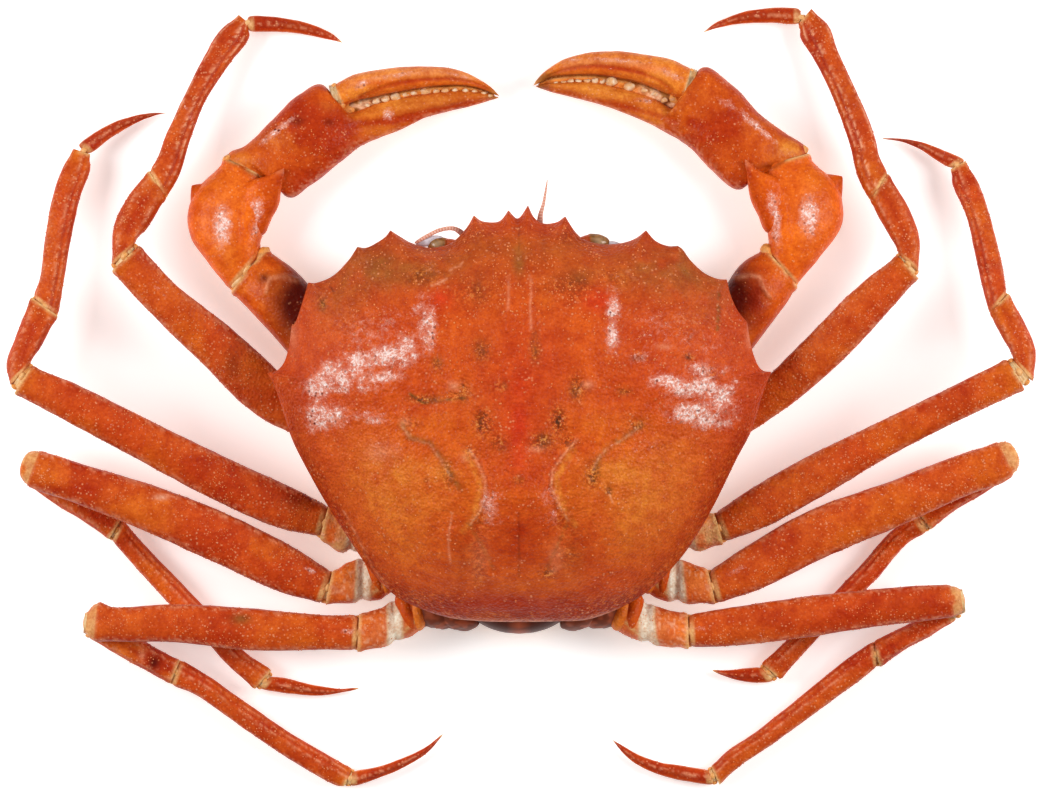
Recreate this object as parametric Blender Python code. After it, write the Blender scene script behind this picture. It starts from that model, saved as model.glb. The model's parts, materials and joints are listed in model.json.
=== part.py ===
"""Cooked deep-sea red crab, lying belly down with its legs folded, built as one
solid for each shell segment. The plan tables are measured in plan units across and
down from the top left of the plan, with the crab's front at the top; heights and
thicknesses are in millimetres above the table. +Y is the crab's front."""

import math

import bmesh
import bpy
import numpy as np

MM = 0.001
PLAN_UNIT = 0.3  # millimetres of crab to one plan unit: 150 mm across the side spines
PLAN_MIDDLE = (521.5, 398.5)  # the plan point that stands over the origin
CUTTER_GAP = 0.75  # growth of a cutter, which leaves at least 0.3 between neighbours
END_GROWTH = 2.0  # a cutter grows by this many gaps past its ends

# Carapace heights
DOME_TOP = 56.4
MARGIN_FRONT = 36.5
MARGIN_REAR = 27.0
SEAM = 24.4  # underside of the carapace, where the thorax begins
DOME_MIDDLE = (519, 415)
DOME_ROUND = 2.5
DOME_FALL = 0.82
LIP = 2.2  # thickness of the shell edge

# Rings of the carapace: share of the way out to the margin
TOP_RINGS = (0.1, 0.22, 0.34, 0.46, 0.57, 0.67, 0.76, 0.84, 0.9, 0.95, 0.985, 1.0)
UNDER_RINGS = ((0.985, -LIP), (0.93, -4.2), (0.84, -7.5), (0.73, -14.0))
TEETH_FROM = 0.86
OUTLINE_STEP = 6.5
SMOOTH_REACH = 13.0

# Carapace edge from the front notch round by the left: plan point and 1 for a tooth tip
OUTLINE = (
    (518, 219, 0), (508.5, 211, 1), (499, 222, 0), (483, 222, 0), (474, 216, 1), (467, 228, 0),
    (455, 241, 0), (444, 246.5, 0), (428, 248, 0), (412, 243.5, 0), (402, 238, 0), (391, 231, 1),
    (384, 239, 0), (368, 248, 0), (358, 247.5, 1), (349, 261, 0), (334, 276, 0), (318, 283, 0),
    (309, 283, 1), (304, 300, 0), (297, 321, 0), (292.5, 326, 1), (290, 345, 0), (285, 362, 0),
    (277, 371, 0), (268, 373, 1), (276, 388, 0), (284, 412, 0), (293, 440, 0), (308, 470, 0),
    (326, 502, 0), (350, 540, 0), (372, 572, 0), (395, 595, 0), (420, 608, 0), (450, 617.5, 0),
    (485, 621, 0), (520, 621.5, 0), (555, 621, 0), (588, 619, 0), (620, 607.5, 0), (645, 593, 0),
    (668, 572, 0), (690, 545, 0), (713, 506, 0), (735, 461, 0), (751, 430, 0), (760, 400, 0),
    (765, 385, 0), (770.5, 372, 1), (762, 370.5, 0), (756, 363, 0), (750, 345, 0), (746.5, 323, 1),
    (737, 311, 0), (730, 296, 0), (726, 280, 1), (716, 279, 0), (703, 273, 0), (690, 261, 0),
    (682, 250, 0), (677, 246.5, 1), (667, 246.5, 0), (655, 241.5, 0), (645.5, 231, 1),
    (635, 239, 0), (622, 243.5, 0), (605, 245, 0), (592, 243, 0), (582, 239, 0), (574, 231, 0),
    (565, 217, 1), (556, 223, 0), (543, 224, 0), (534, 218, 0), (528, 206, 1),
)

# Raised and sunk areas of the shell: plan point, plan reaches, height in millimetres
RELIEF = (
    (519, 330, 75, 60, 1), (450, 330, 26, 40, 0.8), (588, 330, 26, 40, 0.8),
    (366, 378, 44, 42, 1.5), (674, 378, 44, 42, 1.5), (362, 298, 30, 26, 0.7),
    (678, 298, 30, 26, 0.7), (392, 500, 58, 70, 1.5), (645, 500, 58, 70, 1.5),
    (519, 505, 26, 34, 1.6), (520, 575, 30, 24, 0.6), (428, 392, 22, 30, -0.7),
    (610, 392, 22, 30, -0.7), (472, 452, 18, 26, -0.8), (566, 452, 18, 26, -0.8),
    (480, 505, 10, 30, -0.8), (558, 505, 10, 30, -0.8),
)

# Thorax: half outline at the leg hips, front to rear, and its levels
BODY_HALF = (
    (518.9, 250), (480, 253), (452, 264), (434, 292), (420, 330), (410, 370), (405, 400),
    (402, 450), (399, 500), (401, 545), (416, 578), (446, 603), (482, 619), (518.9, 624),
)
BODY_LEVELS = (
    (24.1, 0.0, 0.70), (21.5, 0.25, 0.72), (18.6, 0.8, 0.9), (15.0, 1.0, 1.0),
    (8.0, 1.0, 1.0), (3.4, 1.0, 0.95), (0.9, 1.0, 0.86), (0.0, 1.0, 0.74),
)
BODY_COLUMNS = 44

# Abdomen, folded under from the rear: y, z, half width, half thickness
ABDOMEN = (
    (-64.6, 22.6, 12.0, 1.2), (-68.0, 20.2, 12.6, 1.3), (-69.4, 14.0, 13.4, 1.3),
    (-67.0, 7.0, 13.2, 1.3), (-60.5, 3.0, 12.2, 1.3), (-50.0, 1.8, 10.6, 1.3),
    (-30.0, 1.65, 7.6, 1.3), (-10.0, 1.65, 4.6, 1.2), (4.0, 1.65, 2.4, 1.1),
)
# Outer mouthpart, one side: y, z, half width, half thickness
MAXILLIPED = (
    (43.6, 2.6, 4.6, 1.3), (45.6, 8.0, 6.0, 1.5), (47.2, 14.0, 6.2, 1.5),
    (48.4, 21.4, 4.6, 1.2),
)
MAXILLIPED_OFFSET = 7.0

# Eyestalks and antennae as edge rows, in the form of the limb rows below
FRONT_PIECES = {
    "eye_left": [
        (462, 240, 462, 254, 31, 4.4), (448, 238, 448, 254, 31, 5.2),
        (436, 238, 434, 253, 30.8, 5.4), (428, 240, 427, 249, 30.6, 4),
    ],
    "eye_right": [
        (573, 240, 573, 254, 31, 4.4), (588, 234, 590, 252, 31, 5.2),
        (601, 235, 603, 251, 30.8, 5.4), (609, 238, 611, 248, 30.6, 4),
    ],
    "antenna_left": [
        (466, 232, 462, 238, 33, 1.6), (455, 227, 454, 231.5, 33, 1.3),
        (440, 228.5, 441, 232.5, 32.8, 1.2), (427, 234.5, 429, 238, 32.6, 1.1),
        (414, 242.5, 416, 245, 32.4, 0.9),
    ],
    "antenna_right": [
        (536, 227, 543, 227, 33.2, 1.8), (538, 215, 543, 215, 33.4, 1.5),
        (541.5, 205, 545, 205, 33.8, 1.1), (544, 194, 546.5, 194, 34.4, 0.8),
        (546.7, 180, 547.9, 180, 35, 0.4),
    ],
}

# Limb segments from the body outwards. Each row is a section: the plan point of one
# edge, that of the other, then the height of the middle and the thickness
LIMBS = {
    "claw_left": {
        "hip": [
            (400, 392, 394, 436, 13, 12.5), (378, 368, 356, 414, 14, 13), (357, 352, 316, 390, 14.8, 12.5),
        ],
        "arm": [
            (352, 346, 311, 384, 15, 13), (318, 295, 278, 342, 14.5, 15), (288, 264, 250, 312, 13.5, 15.5),
            (268, 250, 232, 294, 12.5, 13.5),
        ],
        "wrist": [
            (261, 247, 227, 288, 12.2, 12.5), (262, 236, 208, 264, 11.6, 15),
            (266, 224, 190, 238, 10.6, 17), (273, 207, 187, 210, 10, 17.6),
            (271, 192, 198, 186, 9.8, 16.5), (264, 185, 220, 164, 9.6, 13),
        ],
        "palm": [
            (228, 152, 270, 179, 9.4, 12.5), (243, 145, 285, 196, 9.2, 15.6), (270, 120, 310, 185, 9, 17),
            (300, 92, 340, 162, 8.8, 16.8), (323, 84, 361, 146, 8.4, 14.6),
            (344, 109, 379, 137.5, 8, 11.4), (372, 102, 401, 129, 7.8, 10.2), (402, 95, 426, 117, 7.4, 9),
            (432, 91, 450, 110.5, 7, 7.6), (460, 89, 478, 103.5, 6.6, 6), (483, 91.5, 491, 99.5, 6.2, 3.8),
            (498, 95.5, 499, 97.5, 6, 1),
        ],
        "finger": [
            (335, 83, 343, 106, 10.2, 9.4), (351, 74.5, 356, 100.5, 10.4, 10.4),
            (372, 69.5, 376, 96, 10, 10), (402, 65.5, 404, 91, 9.2, 8.8), (430, 65, 431, 86.5, 8.6, 7.6),
            (456, 68, 455, 85, 8, 6), (478, 77, 475, 87, 7.4, 4.4), (490, 85, 487, 91, 7, 3),
            (499, 94, 499, 95.5, 6.6, 0.8),
        ],
    },
    "claw_right": {
        "hip": [
            (638, 392, 644, 436, 13, 12.5), (660, 368, 682, 414, 14, 13), (681, 352, 722, 390, 14.8, 12.5),
        ],
        "arm": [
            (686, 346, 727, 384, 15, 13), (720, 295, 759, 341, 14.5, 15), (745, 260, 786, 305, 13.5, 15.5),
            (763, 249, 797, 289, 12.5, 13.5),
        ],
        "wrist": [
            (767, 248, 799, 284, 12.2, 12.5), (768, 236, 820, 258, 11.6, 15),
            (765, 223, 842, 228, 10.6, 17), (755, 206, 844, 205, 10, 17.6),
            (750, 188, 836, 181, 9.8, 16.5), (759, 175, 813, 160, 9.6, 13.5),
        ],
        "palm": [
            (806, 145, 757, 178, 9.4, 12.5), (788, 133, 742, 189, 9.2, 15.6), (760, 112, 712, 170, 9, 17),
            (733, 84, 690, 147, 8.8, 16.8), (700, 68, 664, 131, 8.4, 14.6),
            (678, 107, 650, 123.5, 8, 11.4), (655, 97, 630, 115, 7.8, 10.2), (625, 87, 606, 106, 7.4, 9),
            (595, 81, 580, 98.5, 7, 7.6), (565, 80.5, 553, 92, 6.6, 6), (545, 82.5, 541, 88, 6.2, 3.8),
            (536, 84, 535, 86, 6, 1),
        ],
        "finger": [
            (691, 67, 682, 99, 10.2, 9.6), (672, 58.5, 664, 92, 10.4, 10.6), (650, 54, 645, 84.5, 10, 10),
            (620, 50, 618, 78, 9.2, 8.8), (590, 51, 590, 74.5, 8.6, 7.6), (562, 59, 566, 75, 8, 6),
            (546, 69, 552, 77, 7.4, 4.4), (537, 78, 541, 81.5, 7, 3), (533, 84, 534, 85, 6.6, 0.8),
        ],
    },
    "leg1_left": {
        "hip": [
            (398, 470, 392, 502, 12, 11), (372, 452, 362, 486, 12.5, 11.5), (345, 430, 326, 464, 14, 11),
            (323, 415, 300, 441, 15, 9),
        ],
        "merus": [
            (318, 410, 295, 436, 15.2, 8.5), (300, 392, 268, 423, 15.6, 9.6),
            (230, 327, 199, 361, 18, 9.2), (175, 283, 147, 310, 20, 9), (141, 247, 113, 273, 21.2, 8),
        ],
        "carpus": [
            (136, 242, 111, 264, 20.6, 7), (147, 229, 113, 228, 19.5, 8), (158, 211, 127, 197, 17.8, 7.6),
            (165, 200, 147, 172, 16.4, 6.4),
        ],
        "propodus": [
            (167, 197, 150, 169, 16.2, 6.2), (178, 178, 156, 158, 15.4, 6.3),
            (190, 140, 166, 132, 13.2, 6.2), (206, 99, 182, 97, 10.8, 5.8), (230, 62, 203, 55, 8.4, 5.4),
            (249, 34, 223, 25, 6.6, 4.8), (248, 25, 236, 15, 6, 3.4),
        ],
        "dactylus": [
            (251, 13.5, 251, 31, 5.6, 4.4), (275, 15, 275, 31, 4.8, 4), (300, 19.5, 298, 32.5, 3.8, 3.4),
            (320, 26, 316, 36, 3, 2.6), (334, 33.5, 331, 39, 2.2, 1.6), (342, 40.5, 341, 41.5, 1.6, 0.6),
        ],
    },
    "leg2_left": {
        "hip": [
            (392, 508, 390, 546, 12.5, 12), (370, 508, 364, 550, 13, 12), (345, 512, 338, 552, 14, 11),
            (330, 507, 321, 541, 15, 9.4),
        ],
        "merus": [
            (326, 504, 317, 537, 15.2, 9.2), (300, 491, 284, 530, 15.6, 9.8),
            (230, 459, 213, 500, 16.8, 9.8), (150, 420, 134, 458, 19, 9.4), (70, 381, 54, 415, 21, 8.8),
            (34, 366, 16, 395, 21.8, 7.6),
        ],
        "carpus": [
            (32, 361, 9, 384, 21, 6.6), (40, 349, 6, 366, 20.2, 7.6), (51, 328, 15, 337, 18.8, 7.4),
            (57, 318, 30, 299, 17.4, 6.2),
        ],
        "propodus": [
            (58, 314, 33, 295, 17, 6), (63, 286, 39, 278, 15.6, 6.2), (69, 248, 43, 245, 13.6, 6),
            (80, 196, 51, 197, 10.8, 5.6), (90, 165, 63, 163, 8.6, 5), (89, 156, 71, 150, 7.8, 3.8),
        ],
        "dactylus": [
            (79, 141, 91, 152, 7, 4.4), (100, 127, 109, 138, 5.6, 3.8), (120, 118, 127, 127, 4.4, 3),
            (140, 112.5, 144, 118.5, 3.4, 2.2), (158, 111, 159, 113.5, 2.6, 1),
            (165, 111.5, 165, 112.3, 2.2, 0.5),
        ],
    },
    "leg3_left": {
        "hip": [
            (390, 548, 402, 586, 12.5, 12), (368, 556, 376, 600, 13, 12), (348, 562, 350, 604, 14, 11),
            (334, 571, 327, 605, 15, 9.4),
        ],
        "merus": [
            (330, 570, 318, 604, 15.2, 9.2), (300, 551, 284, 594, 15.6, 9.8),
            (230, 515, 212, 562, 16.4, 9.8), (150, 484, 134, 527, 17.4, 9.6), (80, 463, 68, 501, 18, 9.2),
            (45, 452, 31, 488, 18.4, 8.4), (34, 449, 22, 482, 18.5, 7.4),
        ],
        "carpus": [
            (38, 468, 28, 487, 10.4, 6), (70, 482, 54, 505, 9.2, 7.2), (96, 500, 80, 521, 8.6, 7.2),
            (119, 517, 106, 539, 7.8, 6),
        ],
        "propodus": [
            (123, 521, 112, 543, 7, 5.4), (140, 541, 124, 557, 6, 5.6), (180, 583, 162, 599, 5.2, 5.6),
            (215, 620, 197, 634, 5, 5.4), (246, 654, 229, 669, 4.6, 5.2), (269, 670, 252, 689, 4.4, 4.4),
        ],
        "dactylus": [
            (272, 677, 261, 691, 4.2, 4), (290, 680, 287, 695, 3.8, 3.6), (315, 686, 314, 697.5, 3.2, 2.8),
            (338, 689.5, 337, 695, 2.6, 1.8), (358, 688.5, 358, 690.5, 2, 0.7),
        ],
    },
    "leg4_left": {
        "hip": [
            (424, 590, 436, 622, 13, 11.5), (404, 592, 414, 634, 14, 12), (384, 606, 390, 646, 15.4, 11),
            (361, 614, 359, 652, 16.6, 9.6),
        ],
        "merus": [
            (356, 614.5, 355, 651, 16.8, 9.2), (340, 615, 339, 650.5, 16.9, 9.6),
            (250, 608, 250, 651, 17.2, 9.8), (170, 604, 170, 642.5, 17.4, 9.4),
            (112, 606.5, 114, 642, 17.6, 9), (94, 603.5, 90, 640, 17.6, 8.2), (86, 609, 84, 636, 17.6, 7),
        ],
        "carpus": [
            (97, 624, 90, 641, 9, 6), (126, 632, 112, 654, 8.2, 7), (155, 648, 141, 670, 7.6, 7),
            (177, 660, 167, 684, 7, 6),
        ],
        "propodus": [
            (182, 661, 172, 687, 6.6, 5.4), (205, 675, 190, 694, 6, 5.8), (246, 704, 231, 722, 5.4, 5.6),
            (300, 740, 284, 758, 4.8, 5.4), (340, 763, 326, 783, 4.4, 5), (350, 769, 340, 790, 4.2, 4.2),
        ],
        "dactylus": [
            (354, 772, 354, 788, 4.2, 4.2), (376, 768, 380, 779.5, 3.8, 3.6),
            (402, 759, 408, 767, 3.2, 2.8), (426, 747.5, 429, 753, 2.6, 1.8),
            (442, 735, 443, 736.5, 2, 0.7),
        ],
    },
    "leg1_right": {
        "hip": [
            (640, 470, 646, 502, 12, 11), (666, 452, 676, 486, 12.5, 11.5), (693, 430, 712, 464, 14, 11),
            (717, 414, 739, 440, 15, 9),
        ],
        "merus": [
            (722, 410, 744, 437, 15.2, 8.5), (752, 389, 779, 414, 15.6, 9.6),
            (800, 344, 832, 371, 18, 9.2), (860, 284, 887, 314, 20, 9), (895, 256, 917, 280, 21.2, 8),
        ],
        "carpus": [
            (897, 251, 919, 270, 20.6, 7), (889, 236, 920, 240, 19.5, 8), (879, 218, 909, 207, 17.8, 7.6),
            (871, 202, 890, 175, 16.4, 6.4),
        ],
        "propodus": [
            (869, 199, 888, 172, 16.2, 6.2), (859, 180, 881, 158, 15.4, 6.3),
            (850, 145, 875, 133, 13.2, 6.2), (833, 97, 861, 98, 10.8, 5.8), (813, 56, 838, 47, 8.4, 5.4),
            (801, 36, 828, 22, 6.6, 4.8), (800, 25, 814, 9, 6, 3.4),
        ],
        "dactylus": [
            (797, 6, 797, 23.5, 5.6, 4.4), (772, 6, 773, 22, 4.8, 4), (748, 9, 751, 22, 3.8, 3.4),
            (728, 15.5, 732, 24, 3, 2.6), (713, 23, 716, 27.5, 2.2, 1.6), (704, 30, 705, 31, 1.6, 0.6),
        ],
    },
    "leg2_right": {
        "hip": [
            (646, 508, 648, 546, 12.5, 12), (668, 508, 674, 550, 13, 12), (693, 512, 700, 552, 14, 11),
            (712, 513, 722, 545, 15, 9.4),
        ],
        "merus": [
            (717, 511, 728, 542, 15.2, 9.2), (742, 494, 760, 530, 15.6, 9.8),
            (800, 460, 822, 497, 16.8, 9.8), (880, 421, 898, 452, 19, 9.4), (960, 382, 976, 413, 21, 8.8),
            (1004, 360, 1023, 391, 21.8, 7.6),
        ],
        "carpus": [
            (1012, 357, 1034, 380, 21, 6.6), (1002, 338, 1036, 350, 20.2, 7.6),
            (995, 325, 1024, 320, 18.8, 7.4), (991, 315, 1010, 295, 17.4, 6.2),
        ],
        "propodus": [
            (989, 312, 1007, 291, 17, 6), (983, 290, 1006, 280, 15.6, 6.2), (976, 256, 1001, 254, 13.6, 6),
            (966, 214, 989, 208, 10.8, 5.6), (953, 182, 977, 176, 8.6, 5), (952, 171, 968, 162, 7.8, 3.8),
        ],
        "dactylus": [
            (964, 157, 950, 167, 7, 4.4), (943, 148, 936, 158.5, 5.6, 3.8), (923, 140.5, 920, 148, 4.4, 3),
            (903, 137, 904, 141.5, 3.4, 2.2), (884, 136.5, 884, 138, 2.2, 0.6),
        ],
    },
    "leg3_right": {
        "hip": [
            (648, 548, 636, 586, 12.5, 12), (670, 556, 662, 600, 13, 12), (690, 562, 688, 604, 14, 11),
            (706, 569, 714, 605, 15, 9.4),
        ],
        "merus": [
            (711, 569, 720, 604, 15.2, 9.2), (740, 550, 757, 591, 15.6, 9.8),
            (810, 510, 830, 556, 16.4, 9.8), (890, 481, 906, 524, 17.4, 9.6),
            (960, 454, 972, 494, 18, 9.2), (992, 444, 1008, 480, 18.4, 8.4),
            (1003, 440, 1018, 471, 18.5, 7.4),
        ],
        "carpus": [
            (1001, 462, 1011, 477, 10.4, 6), (968, 478, 984, 495, 9.2, 7.2),
            (942, 494, 957, 511, 8.6, 7.2), (920, 511, 934, 529, 7.8, 6),
        ],
        "propodus": [
            (914, 516, 926, 534, 7, 5.4), (896, 528, 912, 542, 6, 5.6), (862, 565, 880, 578, 5.2, 5.6),
            (820, 609, 838, 620, 5, 5.4), (785, 643, 803, 657, 4.6, 5.2), (764, 663, 783, 679, 4.4, 4.4),
        ],
        "dactylus": [
            (760, 668, 771, 684, 4.2, 4), (742, 669.5, 748, 683.5, 3.8, 3.6),
            (724, 671, 728, 678.5, 3.2, 2.8), (713, 670.5, 714, 673, 2.4, 1),
        ],
    },
    "leg4_right": {
        "hip": [
            (614, 590, 602, 622, 13, 11.5), (634, 592, 624, 634, 14, 12), (656, 606, 652, 645, 15.4, 11),
            (686, 613.5, 687, 649, 16.6, 9.6),
        ],
        "merus": [
            (691, 613.5, 692, 648, 16.8, 9.2), (720, 609, 722, 647, 16.9, 9.6),
            (800, 597, 803, 638.5, 17.2, 9.8), (880, 588.5, 884, 626, 17.4, 9.4),
            (940, 584.5, 944, 619, 17.6, 8.8), (961, 585, 965, 615, 17.6, 7.4),
        ],
        "carpus": [
            (945, 608, 955, 623, 9, 6), (918, 620, 930, 638, 8.2, 7), (896, 631, 908, 650, 7.6, 7),
            (877, 641, 883, 667, 7, 6),
        ],
        "propodus": [
            (872, 643, 877, 669, 6.6, 5.4), (850, 658, 862, 681, 6, 5.8), (810, 690, 824, 709, 5.4, 5.6),
            (760, 730, 775, 745, 4.8, 5.4), (722, 757, 735, 773, 4.4, 5), (713, 766, 722, 785, 4.2, 4.2),
        ],
        "dactylus": [
            (708, 771, 710, 787, 4.2, 4.2), (685, 767, 685, 783, 3.8, 3.6), (660, 763, 658, 776, 3.2, 2.8),
            (636, 754.5, 631, 762, 2.6, 1.8), (621, 745.5, 619, 750, 2.2, 1.1),
            (612, 740.5, 612.5, 741.5, 2, 0.6),
        ],
    },
}

# Columns and rings of each kind of segment, and the rounding of its ends
DETAIL = {
    "hip": (12, 5, 2.2), "merus": (12, 8, 2.4), "carpus": (12, 6, 2.2),
    "propodus": (10, 7, 1.6), "dactylus": (8, 6, 1.2), "arm": (14, 6, 3.4),
    "wrist": (16, 8, 4.0), "palm": (18, 13, 3.4), "finger": (12, 10, 2.0),
    "eye": (12, 6, 2.6), "antenna": (6, 7, 0.4),
    "abdomen": (14, 11, 0.0), "maxilliped": (12, 6, 0.0),
}
SQUARENESS = 0.86  # below one, sections are a little fuller than an oval
PLATE_SQUARENESS = 0.6
GROOVE_OPENING = 1.6

MATERIALS = {
    "shell": ((0.62, 0.12, 0.03), 0.42),
    "limb_shell": ((0.60, 0.11, 0.03), 0.45),
    "belly_shell": ((0.80, 0.42, 0.22), 0.55),
    "eye": ((0.06, 0.03, 0.02), 0.2),
}


def clear_scene():
    for thing in list(bpy.data.objects):
        bpy.data.objects.remove(thing, do_unlink=True)


def new_collection(name, helper=False):
    group = bpy.data.collections.new(name)
    bpy.context.scene.collection.children.link(group)
    group.hide_render = helper
    return group


def new_material(name, colour, roughness):
    material = bpy.data.materials.new(name)
    material.use_nodes = True
    shader = material.node_tree.nodes["Principled BSDF"]
    shader.inputs["Base Color"].default_value = (*colour, 1.0)
    shader.inputs["Roughness"].default_value = roughness
    shader.inputs["Metallic"].default_value = 0.0
    material.diffuse_color = (*colour, 1.0)
    return material


def plan(points):
    """Plan points in millimetres from the origin, +Y to the crab's front."""
    points = np.asarray(points, float)
    return (points - PLAN_MIDDLE) * (PLAN_UNIT, -PLAN_UNIT)


def sections(rows):
    """Section rows with both edges in millimetres."""
    rows = np.array(rows, float)
    rows[:, 0:2] = plan(rows[:, 0:2])
    rows[:, 2:4] = plan(rows[:, 2:4])
    return rows


def ease(value):
    value = np.clip(value, 0.0, 1.0)
    return value * value * (3.0 - 2.0 * value)


def moved_sphere(name, columns, rings, rule, group):
    """A sphere whose vertices go where rule(ring, column) says, in millimetres.
    Ring 0 is one pole and ring rings + 1 the other."""
    bm = bmesh.new()
    bmesh.ops.create_uvsphere(bm, u_segments=columns, v_segments=rings + 1, radius=1.0)
    for vert in bm.verts:
        polar = math.acos(max(-1.0, min(1.0, vert.co.z)))
        turn = math.atan2(vert.co.y, vert.co.x) % math.tau
        ring = round(polar * (rings + 1) / math.pi)
        column = round(turn * columns / math.tau) % columns
        vert.co = [MM * value for value in rule(ring, column)]
    if bm.calc_volume(signed=True) < 0.0:
        bmesh.ops.reverse_faces(bm, faces=bm.faces)
    mesh = bpy.data.meshes.new(name)
    bm.to_mesh(mesh)
    bm.free()
    mesh.shade_smooth()
    thing = bpy.data.objects.new(name, mesh)
    group.objects.link(thing)
    return thing


def along(rows, share):
    """The row at this share of the length of rows, on a smooth curve through them."""
    rows = np.asarray(rows)
    middles = np.c_[(rows[:, 0] + rows[:, 2]) / 2, (rows[:, 1] + rows[:, 3]) / 2, rows[:, 4]]
    knots = np.r_[0.0, np.cumsum(np.linalg.norm(np.diff(middles, axis=0), axis=1))]
    slopes = np.gradient(rows, knots, axis=0)
    where = share * knots[-1]
    i = min(int(np.searchsorted(knots, where, side="right")) - 1, len(rows) - 2)
    span = knots[i + 1] - knots[i]
    u = (where - knots[i]) / span
    near = (2 * u**3 - 3 * u**2 + 1) * rows[i] + (u**3 - 2 * u**2 + u) * span * slopes[i]
    far = (3 * u**2 - 2 * u**3) * rows[i + 1] + (u**3 - u**2) * span * slopes[i + 1]
    return near + far, knots[-1]


def rounded_power(value):
    return math.copysign(abs(value) ** SQUARENESS, value)


def limb_rule(rows, columns, rings, rounding, grow=0.0):
    """Sections of a limb segment: wide across the plan edges and thick upwards."""
    rows = sections(rows)

    def rule(ring, column):
        if ring in (0, rings + 1):
            share = float(ring > 0)
        else:
            share = 0.5 - 0.5 * math.cos(math.pi * (ring - 0.35) / (rings + 0.3))
        row, length = along(rows, share)
        one, other = row[0:2], row[2:4]
        middle, half = (one + other) / 2, (one - other) / 2
        reach = min(rounding, 0.5 * length)
        from_end = min(share, 1.0 - share) * length
        swell = math.sqrt(max(0.0, 1.0 - (1.0 - min(1.0, from_end / reach)) ** 2))
        push = np.zeros(2)
        if 0 < ring <= rings:
            swell = max(swell, 0.5)
        else:
            swell = 0.0
            inner, _ = along(rows, abs(share - 0.02))
            away = middle - (inner[0:2] + inner[2:4]) / 2
            push = away * END_GROWTH * grow / np.linalg.norm(away)
        angle = math.tau * column / columns
        wide = swell * (1.0 + grow / max(1e-6, np.linalg.norm(half)))
        high = swell * (row[5] / 2 + grow)
        flat = middle + push + half * wide * rounded_power(math.cos(angle))
        return flat[0], flat[1], row[4] + high * rounded_power(math.sin(angle))

    return rule


def flat_power(value):
    return math.copysign(abs(value) ** PLATE_SQUARENESS, value)


def strip_rule(rows, columns, rings, offset, grow=0.0, outward=0.0):
    """A flat strip that curves in an upright plane beside the crab's middle. The
    value outward thickens its outer side only, so that a cutter opens its groove."""
    rows = [(0.0, y, 0.0, y, z, 0.0, wide, thick) for y, z, wide, thick in rows]
    middle_x = plan(DOME_MIDDLE)[0] + offset

    def rule(ring, column):
        share = min(1.0, max(0.0, ring / (rings + 1)))
        share = 0.5 - 0.5 * math.cos(math.pi * share)
        row, length = along(rows, share)
        ahead, _ = along(rows, min(1.0, share + 0.01))
        behind, _ = along(rows, max(0.0, share - 0.01))
        run = np.array([ahead[1] - behind[1], ahead[4] - behind[4]])
        run /= np.linalg.norm(run)
        end = 0.0 if ring in (0, rings + 1) else 1.0
        push = END_GROWTH * grow * (1 - end) * (1 if ring else -1)
        angle = math.tau * column / columns
        across = end * (row[6] + END_GROWTH * grow) * flat_power(math.cos(angle))
        thick = row[7] + grow + outward
        out = end * (thick * flat_power(math.sin(angle)) - outward)
        y = row[1] + run[0] * push - run[1] * out
        z = row[4] + run[1] * push + run[0] * out
        return middle_x + across, y, z

    return rule


def closed_outline():
    """The carapace edge at even steps: a smooth curve that breaks at tooth tips."""
    points = plan([row[:2] for row in OUTLINE])
    tips = [row[2] for row in OUTLINE]
    count = len(points)
    columns = []
    for i in range(count):
        here, there = points[i], points[(i + 1) % count]
        leave = there - here if tips[i] else (there - points[i - 1]) / 2
        arrive = here - there if tips[(i + 1) % count] else (here - points[(i + 2) % count]) / 2
        steps = max(1, round(float(np.linalg.norm(there - here)) / OUTLINE_STEP))
        for k in range(steps):
            u = k / steps
            columns.append(
                (2 * u**3 - 3 * u**2 + 1) * here + (u**3 - 2 * u**2 + u) * leave
                + (3 * u**2 - 2 * u**3) * there - (u**3 - u**2) * arrive
            )
    return np.array(columns)


def without_teeth(outline):
    """The same columns on an outline averaged over SMOOTH_REACH either way."""
    smooth = []
    for point in outline:
        weight = np.exp(-((np.linalg.norm(outline - point, axis=1) / SMOOTH_REACH) ** 2))
        smooth.append((outline * weight[:, None]).sum(axis=0) / weight.sum())
    return np.array(smooth)


def relief(x, y):
    total = 0.0
    for across, down, reach_x, reach_y, height in RELIEF:
        mid_x, mid_y = plan((across, down))
        near_x = (x - mid_x) / (reach_x * PLAN_UNIT)
        near_y = (y - mid_y) / (reach_y * PLAN_UNIT)
        total += height * math.exp(-(near_x**2) - near_y**2)
    return total


def margin_height(y):
    return MARGIN_REAR + (MARGIN_FRONT - MARGIN_REAR) * float(ease((y + 62.0) / 112.0))


def carapace_rule(outline, smooth):
    middle = plan(DOME_MIDDLE)
    rings = len(TOP_RINGS) + len(UNDER_RINGS)

    def rule(ring, column):
        if ring == 0:
            return middle[0], middle[1], DOME_TOP + relief(*middle)
        if ring == rings + 1:
            return middle[0], middle[1], SEAM
        if ring <= len(TOP_RINGS):
            out, drop = TOP_RINGS[ring - 1], None
        else:
            out, drop = UNDER_RINGS[ring - len(TOP_RINGS) - 1]
        toothed = ease((out - TEETH_FROM) / (1.0 - TEETH_FROM))
        edge = smooth[column] + (outline[column] - smooth[column]) * toothed
        x, y = middle + (edge - middle) * out
        base = margin_height(edge[1])
        if drop is not None:
            return x, y, max(SEAM, base + drop)
        rise = (1.0 - out**DOME_ROUND) ** DOME_FALL
        return x, y, base + (DOME_TOP - base) * rise + relief(x, y) * (1.0 - out**6)

    return rule, rings


def outline_at(outline, angle):
    """Where a ray from the dome's middle at this angle meets an outline."""
    middle = plan(DOME_MIDDLE)
    turns = np.arctan2(outline[:, 1] - middle[1], outline[:, 0] - middle[0]) % math.tau
    order = np.argsort(turns)
    reach = np.linalg.norm(outline - middle, axis=1)[order]
    length = np.interp(angle % math.tau, turns[order], reach, period=math.tau)
    return middle + length * np.array([math.cos(angle), math.sin(angle)])


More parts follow.
